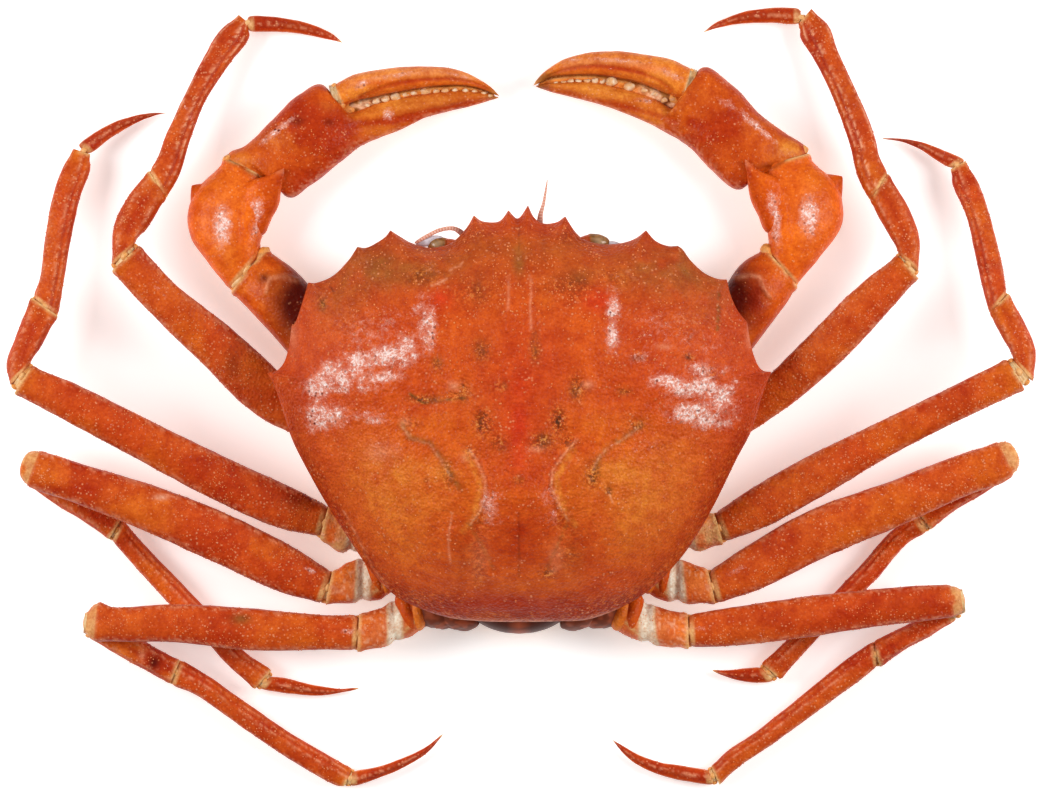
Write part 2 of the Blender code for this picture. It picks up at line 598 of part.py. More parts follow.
def body_outline():
    """The leg-hip outline of the thorax, mirrored from its measured half."""
    half = plan(BODY_HALF)
    mirrored = half[-2:0:-1].copy()
    mirrored[:, 0] = 2 * plan(DOME_MIDDLE)[0] - mirrored[:, 0]
    return np.vstack([half, mirrored])


def thorax_rule(smooth, grow=0.0):
    hips = body_outline()
    middle = plan(DOME_MIDDLE)
    rings = len(BODY_LEVELS)
    top, bottom = BODY_LEVELS[0][0] + grow, BODY_LEVELS[-1][0] - grow

    def rule(ring, column):
        if ring == 0:
            return middle[0], middle[1], top
        if ring == rings + 1:
            return middle[0], middle[1], bottom
        level, share, scale = BODY_LEVELS[ring - 1]
        angle = math.tau * column / BODY_COLUMNS
        wide, narrow = outline_at(smooth, angle), outline_at(hips, angle)
        edge = wide + (narrow - wide) * share
        out = (edge - middle) * scale
        out *= 1.0 + grow / np.linalg.norm(out)
        height = top if ring == 1 else bottom if ring == rings else level
        return middle[0] + out[0], middle[1] + out[1], height

    return rule, rings


def cut(thing, cutter, name):
    """Takes the cutter out of a solid."""
    modifier = thing.modifiers.new(name, "BOOLEAN")
    modifier.operation = "DIFFERENCE"
    modifier.solver = "EXACT"
    modifier.object = cutter


def build():
    clear_scene()
    crab = new_collection("cooked_crab")
    helpers = new_collection("cutters", helper=True)
    finish = {name: new_material(name, *values) for name, values in MATERIALS.items()}

    def dress(thing, slot):
        thing.data.materials.append(finish[slot])
        return thing

    def helper(thing):
        thing.hide_render = True
        thing.display_type = "WIRE"
        return thing

    outline = closed_outline()
    smooth = without_teeth(outline)
    rule, rings = carapace_rule(outline, smooth)
    carapace = dress(moved_sphere("carapace", len(outline), rings, rule, crab), "shell")

    rule, rings = thorax_rule(smooth)
    thorax = dress(moved_sphere("thorax", BODY_COLUMNS, rings, rule, crab), "belly_shell")
    rule, rings = thorax_rule(smooth, CUTTER_GAP)
    hip_cutter = helper(moved_sphere("thorax_room", BODY_COLUMNS, rings, rule, helpers))

    columns, rings, _ = DETAIL["abdomen"]
    rule = strip_rule(ABDOMEN, columns, rings, 0.0)
    dress(moved_sphere("abdomen", columns, rings, rule, crab), "belly_shell")
    rule = strip_rule(ABDOMEN, columns, rings, 0.0, CUTTER_GAP, GROOVE_OPENING)
    flap_cutter = helper(moved_sphere("abdomen_room", columns, rings, rule, helpers))
    cut(thorax, flap_cutter, "abdomen groove")

    columns, rings, _ = DETAIL["maxilliped"]
    for side, name in ((-1, "maxilliped_left"), (1, "maxilliped_right")):
        rule = strip_rule(MAXILLIPED, columns, rings, side * MAXILLIPED_OFFSET)
        plate = dress(moved_sphere(name, columns, rings, rule, crab), "belly_shell")
        cut(plate, hip_cutter, "thorax room")

    for name, rows in FRONT_PIECES.items():
        columns, rings, rounding = DETAIL[name.split("_")[0]]
        rule = limb_rule(rows, columns, rings, rounding)
        slot = "eye" if name.startswith("eye") else "limb_shell"
        dress(moved_sphere(name, columns, rings, rule, crab), slot)
        rule = limb_rule(rows, columns, rings, rounding, CUTTER_GAP)
        room = helper(moved_sphere(name + "_room", columns, rings, rule, helpers))
        cut(carapace, room, name + " room")

    for limb, segments in LIMBS.items():
        for kind, rows in segments.items():
            columns, rings, rounding = DETAIL[kind]
            rule = limb_rule(rows, columns, rings, rounding)
            piece = moved_sphere(limb + "_" + kind, columns, rings, rule, crab)
            dress(piece, "limb_shell")
            if kind == "hip":
                cut(piece, hip_cutter, "thorax room")


build()
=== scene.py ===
"""The looks of a cooked deep-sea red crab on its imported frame: shell, limbs, claws,
joint skin, granules, underside, light and camera. The plan tables are the ones of the
CAD model: plan units across and down, heights and thicknesses in millimetres."""

import json
import math

import bpy
import numpy as np
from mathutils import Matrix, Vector

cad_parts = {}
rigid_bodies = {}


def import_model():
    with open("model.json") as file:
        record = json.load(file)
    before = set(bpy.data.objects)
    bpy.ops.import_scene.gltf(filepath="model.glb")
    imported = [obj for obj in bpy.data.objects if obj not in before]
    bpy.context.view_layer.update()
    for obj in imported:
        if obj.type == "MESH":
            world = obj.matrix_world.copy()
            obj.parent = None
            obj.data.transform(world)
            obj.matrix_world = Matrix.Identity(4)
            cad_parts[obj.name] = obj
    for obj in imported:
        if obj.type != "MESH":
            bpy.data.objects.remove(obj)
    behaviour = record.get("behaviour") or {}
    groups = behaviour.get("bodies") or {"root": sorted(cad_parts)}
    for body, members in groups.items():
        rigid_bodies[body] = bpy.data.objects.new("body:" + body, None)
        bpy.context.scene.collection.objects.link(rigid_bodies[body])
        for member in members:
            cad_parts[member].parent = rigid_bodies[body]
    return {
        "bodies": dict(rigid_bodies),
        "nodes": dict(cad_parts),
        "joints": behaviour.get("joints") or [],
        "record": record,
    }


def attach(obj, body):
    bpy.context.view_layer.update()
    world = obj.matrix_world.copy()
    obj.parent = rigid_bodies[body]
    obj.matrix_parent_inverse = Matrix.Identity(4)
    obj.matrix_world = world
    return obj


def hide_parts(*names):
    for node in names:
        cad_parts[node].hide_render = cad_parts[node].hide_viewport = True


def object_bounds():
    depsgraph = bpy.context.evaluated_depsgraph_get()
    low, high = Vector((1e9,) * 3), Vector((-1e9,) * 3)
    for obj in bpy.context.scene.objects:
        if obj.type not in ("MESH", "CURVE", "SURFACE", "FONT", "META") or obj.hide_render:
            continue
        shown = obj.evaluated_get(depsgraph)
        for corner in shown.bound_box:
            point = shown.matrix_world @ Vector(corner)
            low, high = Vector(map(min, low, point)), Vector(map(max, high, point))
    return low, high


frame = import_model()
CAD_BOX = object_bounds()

MM = 0.001
PLAN_UNIT = 0.3  # millimetres of crab to one plan unit
PLAN_MIDDLE = (521.5, 398.5)  # the plan point over the origin
DOME_TOP = 56.4  # the top, the front and rear edge and the seam are heights in millimetres
MARGIN_FRONT = 36.5
MARGIN_REAR = 27.0
MARGIN_SLOPE = (-62.0, 50.0)  # from here to here along the body the edge rises
CAP_ROOM = 0.3  # the detail of the dome keeps this far below the top of the CAD model
SEAM = 24.4  # underside of the carapace
DOME_MIDDLE = (519, 415)
DOME_ROUND = 2.5  # the two powers of the dome's fall to its edge
DOME_FALL = 0.82
LIP = 2.2  # thickness of the shell's edge
TEETH_FROM = 0.86  # share of the way to the edge at which its teeth begin to show
SMOOTH_REACH = 13.0  # millimetres over which the teeth are averaged out
SQUARENESS = 0.86  # power that makes a limb's section fuller than an oval
COLUMN_STEP = 0.5  # millimetres between the points of the shell edge
RING_STEP = 0.0085  # share of the way to the edge between two rings of the shell
GLOSS_WIDER = (1.45, 1.5)  # how much wider and taller the wet patches with their painted highlights are than their table
GLOSS_STRONGER = 1.2
SENSOR = 36.0
CAMERA_HEIGHT = 4000.0  # millimetres above the height that the plan is true at
MIDDLE_HEIGHT = 20.0  # that height
PICTURE_WIDTH = 1043  # plan units

# Carapace edge from the front notch round by the left: plan point and 1 for a tooth tip
OUTLINE = (
    (518, 219, 0), (508.5, 211, 1), (499, 222, 0), (483, 222, 0), (474, 216, 1), (467, 228, 0),
    (455, 241, 0), (444, 246.5, 0), (428, 248, 0), (412, 243.5, 0), (402, 238, 0), (391, 231, 1),
    (384, 239, 0), (368, 248, 0), (358, 247.5, 1), (349, 261, 0), (334, 276, 0), (318, 283, 0),
    (309, 283, 1), (304, 300, 0), (297, 321, 0), (292.5, 326, 1), (290, 345, 0), (285, 362, 0),
    (277, 371, 0), (268, 373, 1), (276, 388, 0), (284, 412, 0), (293, 440, 0), (308, 470, 0),
    (326, 502, 0), (350, 540, 0), (372, 572, 0), (395, 595, 0), (420, 608, 0), (450, 617.5, 0),
    (485, 621, 0), (520, 621.5, 0), (555, 621, 0), (588, 619, 0), (620, 607.5, 0), (645, 593, 0),
    (668, 572, 0), (690, 545, 0), (713, 506, 0), (735, 461, 0), (751, 430, 0), (760, 400, 0),
    (765, 385, 0), (770.5, 372, 1), (762, 370.5, 0), (756, 363, 0), (750, 345, 0), (746.5, 323, 1),
    (737, 311, 0), (730, 296, 0), (726, 280, 1), (716, 279, 0), (703, 273, 0), (690, 261, 0),
    (682, 250, 0), (677, 246.5, 1), (667, 246.5, 0), (655, 241.5, 0), (645.5, 231, 1),
    (635, 239, 0), (622, 243.5, 0), (605, 245, 0), (592, 243, 0), (582, 239, 0), (574, 231, 0),
    (565, 217, 1), (556, 223, 0), (543, 224, 0), (534, 218, 0), (528, 206, 1),
)

# Raised and sunk areas of the shell: plan point, plan reaches, height in millimetres
RELIEF = (
    (519, 330, 75, 60, 1), (450, 330, 26, 40, 0.8), (588, 330, 26, 40, 0.8),
    (366, 378, 44, 42, 1.5), (674, 378, 44, 42, 1.5), (362, 298, 30, 26, 0.7),
    (678, 298, 30, 26, 0.7), (392, 500, 58, 70, 1.5), (645, 500, 58, 70, 1.5),
    (519, 505, 26, 34, 1.6), (520, 575, 30, 24, 0.6), (428, 392, 22, 30, -0.7),
    (610, 392, 22, 30, -0.7), (472, 452, 18, 26, -0.8), (566, 452, 18, 26, -0.8),
    (480, 505, 10, 30, -0.8), (558, 505, 10, 30, -0.8),
)

# Thorax: half outline at the leg hips, front to rear, and its levels: z, share, scale
BODY_HALF = (
    (518.9, 250), (480, 253), (452, 264), (434, 292), (420, 330), (410, 370), (405, 400),
    (402, 450), (399, 500), (401, 545), (416, 578), (446, 603), (482, 619), (518.9, 624),
)
BODY_LEVELS = (
    (24.1, 0.0, 0.70), (21.5, 0.25, 0.72), (18.6, 0.8, 0.9), (15.0, 1.0, 1.0),
    (8.0, 1.0, 1.0), (3.4, 1.0, 0.95), (0.9, 1.0, 0.86), (0.0, 1.0, 0.74),
)

# Abdomen and outer mouthpart: y, z, half width, half thickness
ABDOMEN = (
    (-64.6, 22.6, 12.0, 1.2), (-68.0, 20.2, 12.6, 1.3), (-69.4, 14.0, 13.4, 1.3),
    (-67.0, 7.0, 13.2, 1.3), (-60.5, 3.0, 12.2, 1.3), (-50.0, 1.8, 10.6, 1.3),
    (-30.0, 1.65, 7.6, 1.3), (-10.0, 1.65, 4.6, 1.2), (4.0, 1.65, 2.4, 1.1),
)
MAXILLIPED = (
    (43.6, 2.6, 4.6, 1.3), (45.6, 8.0, 6.0, 1.5), (47.2, 14.0, 6.2, 1.5),
    (48.4, 21.4, 4.6, 1.2),
)
MAXILLIPED_OFFSET = 7.0

# Eyestalks and antennae, then the limbs from the body outwards. Each row is a section:
# the plan point of one edge, that of the other, the height of the middle, the thickness
FRONT_PIECES = {
    "eye_left": [(462, 240, 462, 254, 31, 4.4), (448, 238, 448, 254, 31, 5.2), (436, 238, 434, 253, 30.8, 5.4),
        (428, 240, 427, 249, 30.6, 4)],
    "eye_right": [(573, 240, 573, 254, 31, 4.4), (588, 234, 590, 252, 31, 5.2), (601, 235, 603, 251, 30.8, 5.4),
        (609, 238, 611, 248, 30.6, 4)],
    "antenna_left": [(466, 232, 462, 238, 33, 1.6), (455, 227, 454, 231.5, 33, 1.3),
        (440, 228.5, 441, 232.5, 32.8, 1.2), (427, 234.5, 429, 238, 32.6, 1.1),
        (414, 242.5, 416, 245, 32.4, 0.9)],
    "antenna_right": [(536, 227, 543, 227, 33.2, 1.8), (538, 215, 543, 215, 33.4, 1.5),
        (541.5, 205, 545, 205, 33.8, 1.1), (544, 194, 546.5, 194, 34.4, 0.8),
        (546.7, 180, 547.9, 180, 35, 0.4)],
}

LIMBS = {
    "claw_left": {
        "hip": [(400, 392, 394, 436, 13, 12.5), (378, 368, 356, 414, 14, 13), (357, 352, 316, 390, 14.8, 12.5)],
        "arm": [(352, 346, 311, 384, 15, 13), (318, 295, 278, 342, 14.5, 15), (288, 264, 250, 312, 13.5, 15.5),
            (268, 250, 232, 294, 12.5, 13.5)],
        "wrist": [(261, 247, 227, 288, 12.2, 12.5), (262, 236, 208, 264, 11.6, 15),
            (266, 224, 190, 238, 10.6, 17), (273, 207, 187, 210, 10, 17.6), (271, 192, 198, 186, 9.8, 16.5),
            (264, 185, 220, 164, 9.6, 13)],
        "palm": [(228, 152, 270, 179, 9.4, 12.5), (243, 145, 285, 196, 9.2, 15.6), (270, 120, 310, 185, 9, 17),
            (300, 92, 340, 162, 8.8, 16.8), (323, 84, 361, 146, 8.4, 14.6), (344, 109, 379, 137.5, 8, 11.4),
            (372, 102, 401, 129, 7.8, 10.2), (402, 95, 426, 117, 7.4, 9), (432, 91, 450, 110.5, 7, 7.6),
            (460, 89, 478, 103.5, 6.6, 6), (483, 91.5, 491, 99.5, 6.2, 3.8), (498, 95.5, 499, 97.5, 6, 1)],
        "finger": [(335, 83, 343, 106, 10.2, 9.4), (351, 74.5, 356, 100.5, 10.4, 10.4),
            (372, 69.5, 376, 96, 10, 10), (402, 65.5, 404, 91, 9.2, 8.8), (430, 65, 431, 86.5, 8.6, 7.6),
            (456, 68, 455, 85, 8, 6), (478, 77, 475, 87, 7.4, 4.4), (490, 85, 487, 91, 7, 3),
            (499, 94, 499, 95.5, 6.6, 0.8)],
    },
    "claw_right": {
        "hip": [(638, 392, 644, 436, 13, 12.5), (660, 368, 682, 414, 14, 13), (681, 352, 722, 390, 14.8, 12.5)],
        "arm": [(686, 346, 727, 384, 15, 13), (720, 295, 759, 341, 14.5, 15), (745, 260, 786, 305, 13.5, 15.5),
            (763, 249, 797, 289, 12.5, 13.5)],
        "wrist": [(767, 248, 799, 284, 12.2, 12.5), (768, 236, 820, 258, 11.6, 15),
            (765, 223, 842, 228, 10.6, 17), (755, 206, 844, 205, 10, 17.6), (750, 188, 836, 181, 9.8, 16.5),
            (759, 175, 813, 160, 9.6, 13.5)],
        "palm": [(806, 145, 757, 178, 9.4, 12.5), (788, 133, 742, 189, 9.2, 15.6), (760, 112, 712, 170, 9, 17),
            (733, 84, 690, 147, 8.8, 16.8), (700, 68, 664, 131, 8.4, 14.6), (678, 107, 650, 123.5, 8, 11.4),
            (655, 97, 630, 115, 7.8, 10.2), (625, 87, 606, 106, 7.4, 9), (595, 81, 580, 98.5, 7, 7.6),
            (565, 80.5, 553, 92, 6.6, 6), (545, 82.5, 541, 88, 6.2, 3.8), (536, 84, 535, 86, 6, 1)],
        "finger": [(691, 67, 682, 99, 10.2, 9.6), (672, 58.5, 664, 92, 10.4, 10.6),
            (650, 54, 645, 84.5, 10, 10), (620, 50, 618, 78, 9.2, 8.8), (590, 51, 590, 74.5, 8.6, 7.6),
            (562, 59, 566, 75, 8, 6), (546, 69, 552, 77, 7.4, 4.4), (537, 78, 541, 81.5, 7, 3),
            (533, 84, 534, 85, 6.6, 0.8)],
    },
    "leg1_left": {
        "hip": [(398, 470, 392, 502, 12, 11), (372, 452, 362, 486, 12.5, 11.5), (345, 430, 326, 464, 14, 11),
            (323, 415, 300, 441, 15, 9)],
        "merus": [(318, 410, 295, 436, 15.2, 8.5), (300, 392, 268, 423, 15.6, 9.6),
            (230, 327, 199, 361, 18, 9.2), (175, 283, 147, 310, 20, 9), (141, 247, 113, 273, 21.2, 8)],
        "carpus": [(136, 242, 111, 264, 20.6, 7), (147, 229, 113, 228, 19.5, 8),
            (158, 211, 127, 197, 17.8, 7.6), (165, 200, 147, 172, 16.4, 6.4)],
        "propodus": [(167, 197, 150, 169, 16.2, 6.2), (178, 178, 156, 158, 15.4, 6.3),
            (190, 140, 166, 132, 13.2, 6.2), (206, 99, 182, 97, 10.8, 5.8), (230, 62, 203, 55, 8.4, 5.4),
            (249, 34, 223, 25, 6.6, 4.8), (248, 25, 236, 15, 6, 3.4)],
        "dactylus": [(251, 13.5, 251, 31, 5.6, 4.4), (275, 15, 275, 31, 4.8, 4),
            (300, 19.5, 298, 32.5, 3.8, 3.4), (320, 26, 316, 36, 3, 2.6), (334, 33.5, 331, 39, 2.2, 1.6),
            (342, 40.5, 341, 41.5, 1.6, 0.6)],
    },
    "leg2_left": {
        "hip": [(392, 508, 390, 546, 12.5, 12), (370, 508, 364, 550, 13, 12), (345, 512, 338, 552, 14, 11),
            (330, 507, 321, 541, 15, 9.4)],
        "merus": [(326, 504, 317, 537, 15.2, 9.2), (300, 491, 284, 530, 15.6, 9.8),
            (230, 459, 213, 500, 16.8, 9.8), (150, 420, 134, 458, 19, 9.4), (70, 381, 54, 415, 21, 8.8),
            (34, 366, 16, 395, 21.8, 7.6)],
        "carpus": [(32, 361, 9, 384, 21, 6.6), (40, 349, 6, 366, 20.2, 7.6), (51, 328, 15, 337, 18.8, 7.4),
            (57, 318, 30, 299, 17.4, 6.2)],
        "propodus": [(58, 314, 33, 295, 17, 6), (63, 286, 39, 278, 15.6, 6.2), (69, 248, 43, 245, 13.6, 6),
            (80, 196, 51, 197, 10.8, 5.6), (90, 165, 63, 163, 8.6, 5), (89, 156, 71, 150, 7.8, 3.8)],
        "dactylus": [(79, 141, 91, 152, 7, 4.4), (100, 127, 109, 138, 5.6, 3.8), (120, 118, 127, 127, 4.4, 3),
            (140, 112.5, 144, 118.5, 3.4, 2.2), (158, 111, 159, 113.5, 2.6, 1),
            (165, 111.5, 165, 112.3, 2.2, 0.5)],
    },
    "leg3_left": {
        "hip": [(390, 548, 402, 586, 12.5, 12), (368, 556, 376, 600, 13, 12), (348, 562, 350, 604, 14, 11),
            (334, 571, 327, 605, 15, 9.4)],
        "merus": [(330, 570, 318, 604, 15.2, 9.2), (300, 551, 284, 594, 15.6, 9.8),
            (230, 515, 212, 562, 16.4, 9.8), (150, 484, 134, 527, 17.4, 9.6), (80, 463, 68, 501, 18, 9.2),
            (45, 452, 31, 488, 18.4, 8.4), (34, 449, 22, 482, 18.5, 7.4)],
        "carpus": [(38, 468, 28, 487, 10.4, 6), (70, 482, 54, 505, 9.2, 7.2), (96, 500, 80, 521, 8.6, 7.2),
            (119, 517, 106, 539, 7.8, 6)],
        "propodus": [(123, 521, 112, 543, 7, 5.4), (140, 541, 124, 557, 6, 5.6), (180, 583, 162, 599, 5.2, 5.6),
            (215, 620, 197, 634, 5, 5.4), (246, 654, 229, 669, 4.6, 5.2), (269, 670, 252, 689, 4.4, 4.4)],
        "dactylus": [(272, 677, 261, 691, 4.2, 4), (290, 680, 287, 695, 3.8, 3.6),
            (315, 686, 314, 697.5, 3.2, 2.8), (338, 689.5, 337, 695, 2.6, 1.8),
            (358, 688.5, 358, 690.5, 2, 0.7)],
    },
    "leg4_left": {
        "hip": [(424, 590, 436, 622, 13, 11.5), (404, 592, 414, 634, 14, 12), (384, 606, 390, 646, 15.4, 11),
            (361, 614, 359, 652, 16.6, 9.6)],
        "merus": [(356, 614.5, 355, 651, 16.8, 9.2), (340, 615, 339, 650.5, 16.9, 9.6),
            (250, 608, 250, 651, 17.2, 9.8), (170, 604, 170, 642.5, 17.4, 9.4), (112, 606.5, 114, 642, 17.6, 9),
            (94, 603.5, 90, 640, 17.6, 8.2), (86, 609, 84, 636, 17.6, 7)],
        "carpus": [(97, 624, 90, 641, 9, 6), (126, 632, 112, 654, 8.2, 7), (155, 648, 141, 670, 7.6, 7),
            (177, 660, 167, 684, 7, 6)],
        "propodus": [(182, 661, 172, 687, 6.6, 5.4), (205, 675, 190, 694, 6, 5.8),
            (246, 704, 231, 722, 5.4, 5.6), (300, 740, 284, 758, 4.8, 5.4), (340, 763, 326, 783, 4.4, 5),
            (350, 769, 340, 790, 4.2, 4.2)],
        "dactylus": [(354, 772, 354, 788, 4.2, 4.2), (376, 768, 380, 779.5, 3.8, 3.6),
            (402, 759, 408, 767, 3.2, 2.8), (426, 747.5, 429, 753, 2.6, 1.8), (442, 735, 443, 736.5, 2, 0.7)],
    },
    "leg1_right": {
        "hip": [(640, 470, 646, 502, 12, 11), (666, 452, 676, 486, 12.5, 11.5), (693, 430, 712, 464, 14, 11),
            (717, 414, 739, 440, 15, 9)],
        "merus": [(722, 410, 744, 437, 15.2, 8.5), (752, 389, 779, 414, 15.6, 9.6),
            (800, 344, 832, 371, 18, 9.2), (860, 284, 887, 314, 20, 9), (895, 256, 917, 280, 21.2, 8)],
        "carpus": [(897, 251, 919, 270, 20.6, 7), (889, 236, 920, 240, 19.5, 8),
            (879, 218, 909, 207, 17.8, 7.6), (871, 202, 890, 175, 16.4, 6.4)],
        "propodus": [(869, 199, 888, 172, 16.2, 6.2), (859, 180, 881, 158, 15.4, 6.3),
            (850, 145, 875, 133, 13.2, 6.2), (833, 97, 861, 98, 10.8, 5.8), (813, 56, 838, 47, 8.4, 5.4),
            (801, 36, 828, 22, 6.6, 4.8), (800, 25, 814, 9, 6, 3.4)],
        "dactylus": [(797, 6, 797, 23.5, 5.6, 4.4), (772, 6, 773, 22, 4.8, 4), (748, 9, 751, 22, 3.8, 3.4),
            (728, 15.5, 732, 24, 3, 2.6), (713, 23, 716, 27.5, 2.2, 1.6), (704, 30, 705, 31, 1.6, 0.6)],
    },
    "leg2_right": {
        "hip": [(646, 508, 648, 546, 12.5, 12), (668, 508, 674, 550, 13, 12), (693, 512, 700, 552, 14, 11),
            (712, 513, 722, 545, 15, 9.4)],
        "merus": [(717, 511, 728, 542, 15.2, 9.2), (742, 494, 760, 530, 15.6, 9.8),
            (800, 460, 822, 497, 16.8, 9.8), (880, 421, 898, 452, 19, 9.4), (960, 382, 976, 413, 21, 8.8),
            (1004, 360, 1023, 391, 21.8, 7.6)],
        "carpus": [(1012, 357, 1034, 380, 21, 6.6), (1002, 338, 1036, 350, 20.2, 7.6),
            (995, 325, 1024, 320, 18.8, 7.4), (991, 315, 1010, 295, 17.4, 6.2)],
        "propodus": [(989, 312, 1007, 291, 17, 6), (983, 290, 1006, 280, 15.6, 6.2),
            (976, 256, 1001, 254, 13.6, 6), (966, 214, 989, 208, 10.8, 5.6), (953, 182, 977, 176, 8.6, 5),
            (952, 171, 968, 162, 7.8, 3.8)],
        "dactylus": [(964, 157, 950, 167, 7, 4.4), (943, 148, 936, 158.5, 5.6, 3.8),
            (923, 140.5, 920, 148, 4.4, 3), (903, 137, 904, 141.5, 3.4, 2.2), (884, 136.5, 884, 138, 2.2, 0.6)],
    },
    "leg3_right": {
        "hip": [(648, 548, 636, 586, 12.5, 12), (670, 556, 662, 600, 13, 12), (690, 562, 688, 604, 14, 11),
            (706, 569, 714, 605, 15, 9.4)],
        "merus": [(711, 569, 720, 604, 15.2, 9.2), (740, 550, 757, 591, 15.6, 9.8),
            (810, 510, 830, 556, 16.4, 9.8), (890, 481, 906, 524, 17.4, 9.6), (960, 454, 972, 494, 18, 9.2),
            (992, 444, 1008, 480, 18.4, 8.4), (1003, 440, 1018, 471, 18.5, 7.4)],
        "carpus": [(1001, 462, 1011, 477, 10.4, 6), (968, 478, 984, 495, 9.2, 7.2),
            (942, 494, 957, 511, 8.6, 7.2), (920, 511, 934, 529, 7.8, 6)],
        "propodus": [(914, 516, 926, 534, 7, 5.4), (896, 528, 912, 542, 6, 5.6), (862, 565, 880, 578, 5.2, 5.6),
            (820, 609, 838, 620, 5, 5.4), (785, 643, 803, 657, 4.6, 5.2), (764, 663, 783, 679, 4.4, 4.4)],
        "dactylus": [(760, 668, 771, 684, 4.2, 4), (742, 669.5, 748, 683.5, 3.8, 3.6),
            (724, 671, 728, 678.5, 3.2, 2.8), (713, 670.5, 714, 673, 2.4, 1)],
    },
    "leg4_right": {
        "hip": [(614, 590, 602, 622, 13, 11.5), (634, 592, 624, 634, 14, 12), (656, 606, 652, 645, 15.4, 11),
            (686, 613.5, 687, 649, 16.6, 9.6)],
        "merus": [(691, 613.5, 692, 648, 16.8, 9.2), (720, 609, 722, 647, 16.9, 9.6),
            (800, 597, 803, 638.5, 17.2, 9.8), (880, 588.5, 884, 626, 17.4, 9.4),
            (940, 584.5, 944, 619, 17.6, 8.8), (961, 585, 965, 615, 17.6, 7.4)],
        "carpus": [(945, 608, 955, 623, 9, 6), (918, 620, 930, 638, 8.2, 7), (896, 631, 908, 650, 7.6, 7),
            (877, 641, 883, 667, 7, 6)],
        "propodus": [(872, 643, 877, 669, 6.6, 5.4), (850, 658, 862, 681, 6, 5.8),
            (810, 690, 824, 709, 5.4, 5.6), (760, 730, 775, 745, 4.8, 5.4), (722, 757, 735, 773, 4.4, 5),
            (713, 766, 722, 785, 4.2, 4.2)],
        "dactylus": [(708, 771, 710, 787, 4.2, 4.2), (685, 767, 685, 783, 3.8, 3.6),
            (660, 763, 658, 776, 3.2, 2.8), (636, 754.5, 631, 762, 2.6, 1.8), (621, 745.5, 619, 750, 2.2, 1.1),
            (612, 740.5, 612.5, 741.5, 2, 0.6)],
    },
}


def plan(points):
    """Plan points in millimetres from the origin, +Y to the crab's front."""
    points = np.asarray(points, float)
    return (points - PLAN_MIDDLE) * (PLAN_UNIT, -PLAN_UNIT)


def sections(rows):
    """Section rows with both edges in millimetres."""
    rows = np.array(rows, float)
    rows[:, 0:2] = plan(rows[:, 0:2])
    rows[:, 2:4] = plan(rows[:, 2:4])
    return rows


def ease(value):
    """A smooth step from 0 to 1."""
    value = np.clip(value, 0.0, 1.0)
    return value * value * (3.0 - 2.0 * value)


def hill(value, middle, reach):
    """One at the middle, falling to nothing beyond the reach."""
    return np.exp(-(((value - middle) / reach) ** 2))


def fuller(value):
    """Sine or cosine of a section that is a little fuller than an oval."""
    return np.sign(value) * np.abs(value) ** SQUARENESS


def turn_gap(angle, centre):
    """Smallest turn between two angles."""
    return np.abs((angle - centre + math.pi) % math.tau - math.pi)


def facing(angle, centre, reach):
    """One at this angle round a section, falling to nothing beyond the reach."""
    return hill(turn_gap(angle, centre), 0.0, reach)


def lumps(points, size, seed):
    """Smooth noise from -1 to 1 whose lumps have this size in millimetres."""
    table = np.random.default_rng(seed).uniform(-1.0, 1.0, (32, 32, 32))
    at = points.reshape(-1, 3) / size
    cell = np.floor(at).astype(int)
    part = ease(at - cell)
    total = np.zeros(len(at))
    for corner in np.ndindex(2, 2, 2):
        share = np.prod(np.where(corner, part, 1.0 - part), axis=1)
        i, j, k = ((cell + corner) % 32).T
        total += share * table[i, j, k]
    return total.reshape(points.shape[:-1])


def near_line(x, y, line, reach):
    """One on a line of plan points, falling to nothing beyond the reach in plan units."""
    line = plan(line)
    away = np.full(np.shape(x), 1e9)
    for start, end in zip(line[:-1], line[1:]):
        run = end - start
        dx, dy = x - start[0], y - start[1]
        share = np.clip((dx * run[0] + dy * run[1]) / (run @ run), 0, 1)
        away = np.minimum(away, np.hypot(dx - share * run[0], dy - share * run[1]))
    return np.exp(-((away / (reach * PLAN_UNIT)) ** 2))


def near_spot(x, y, spot):
    """One at a plan point (across, down, reach across, reach down), falling to nothing."""
    middle = plan(spot[:2])
    across, down = (x - middle[0]) / (spot[2] * PLAN_UNIT), (y - middle[1]) / (spot[3] * PLAN_UNIT)
    return np.exp(-(across**2) - down**2)


def spots(x, y, areas):
    """The areas' numbers, each full at its plan point and falling to nothing, added up."""
    total = np.zeros(np.shape(x))
    for *spot, number in areas:
        total += number * near_spot(x, y, spot)
    return total


def line_middles(rows):
    """The middle of each section row."""
    return np.c_[(rows[:, 0] + rows[:, 2]) / 2, (rows[:, 1] + rows[:, 3]) / 2, rows[:, 4]]


def along(rows, shares):
    """The rows at these shares of the length, on a smooth curve through them."""
    rows = np.asarray(rows, float)
    knots = np.r_[0.0, np.cumsum(np.linalg.norm(np.diff(line_middles(rows), axis=0), axis=1))]
    slopes = np.gradient(rows, knots, axis=0)
    where = np.clip(shares, 0.0, 1.0) * knots[-1]
    i = np.clip(np.searchsorted(knots, where, side="right") - 1, 0, len(rows) - 2)
    span = (knots[i + 1] - knots[i])[:, None]
    u = (where - knots[i])[:, None] / span
    near = (2 * u**3 - 3 * u**2 + 1) * rows[i] + (u**3 - 2 * u**2 + u) * span * slopes[i]
    far = (3 * u**2 - 2 * u**3) * rows[i + 1] + (u**3 - u**2) * span * slopes[i + 1]
    return near + far, knots[-1]


def row_at(rows, share):
    """The section at this share of the length."""
    return along(rows, np.array([share]))[0][0]


def length_of(rows):
    """The length along the middles of the sections."""
    return along(rows, np.array([0.0]))[1]


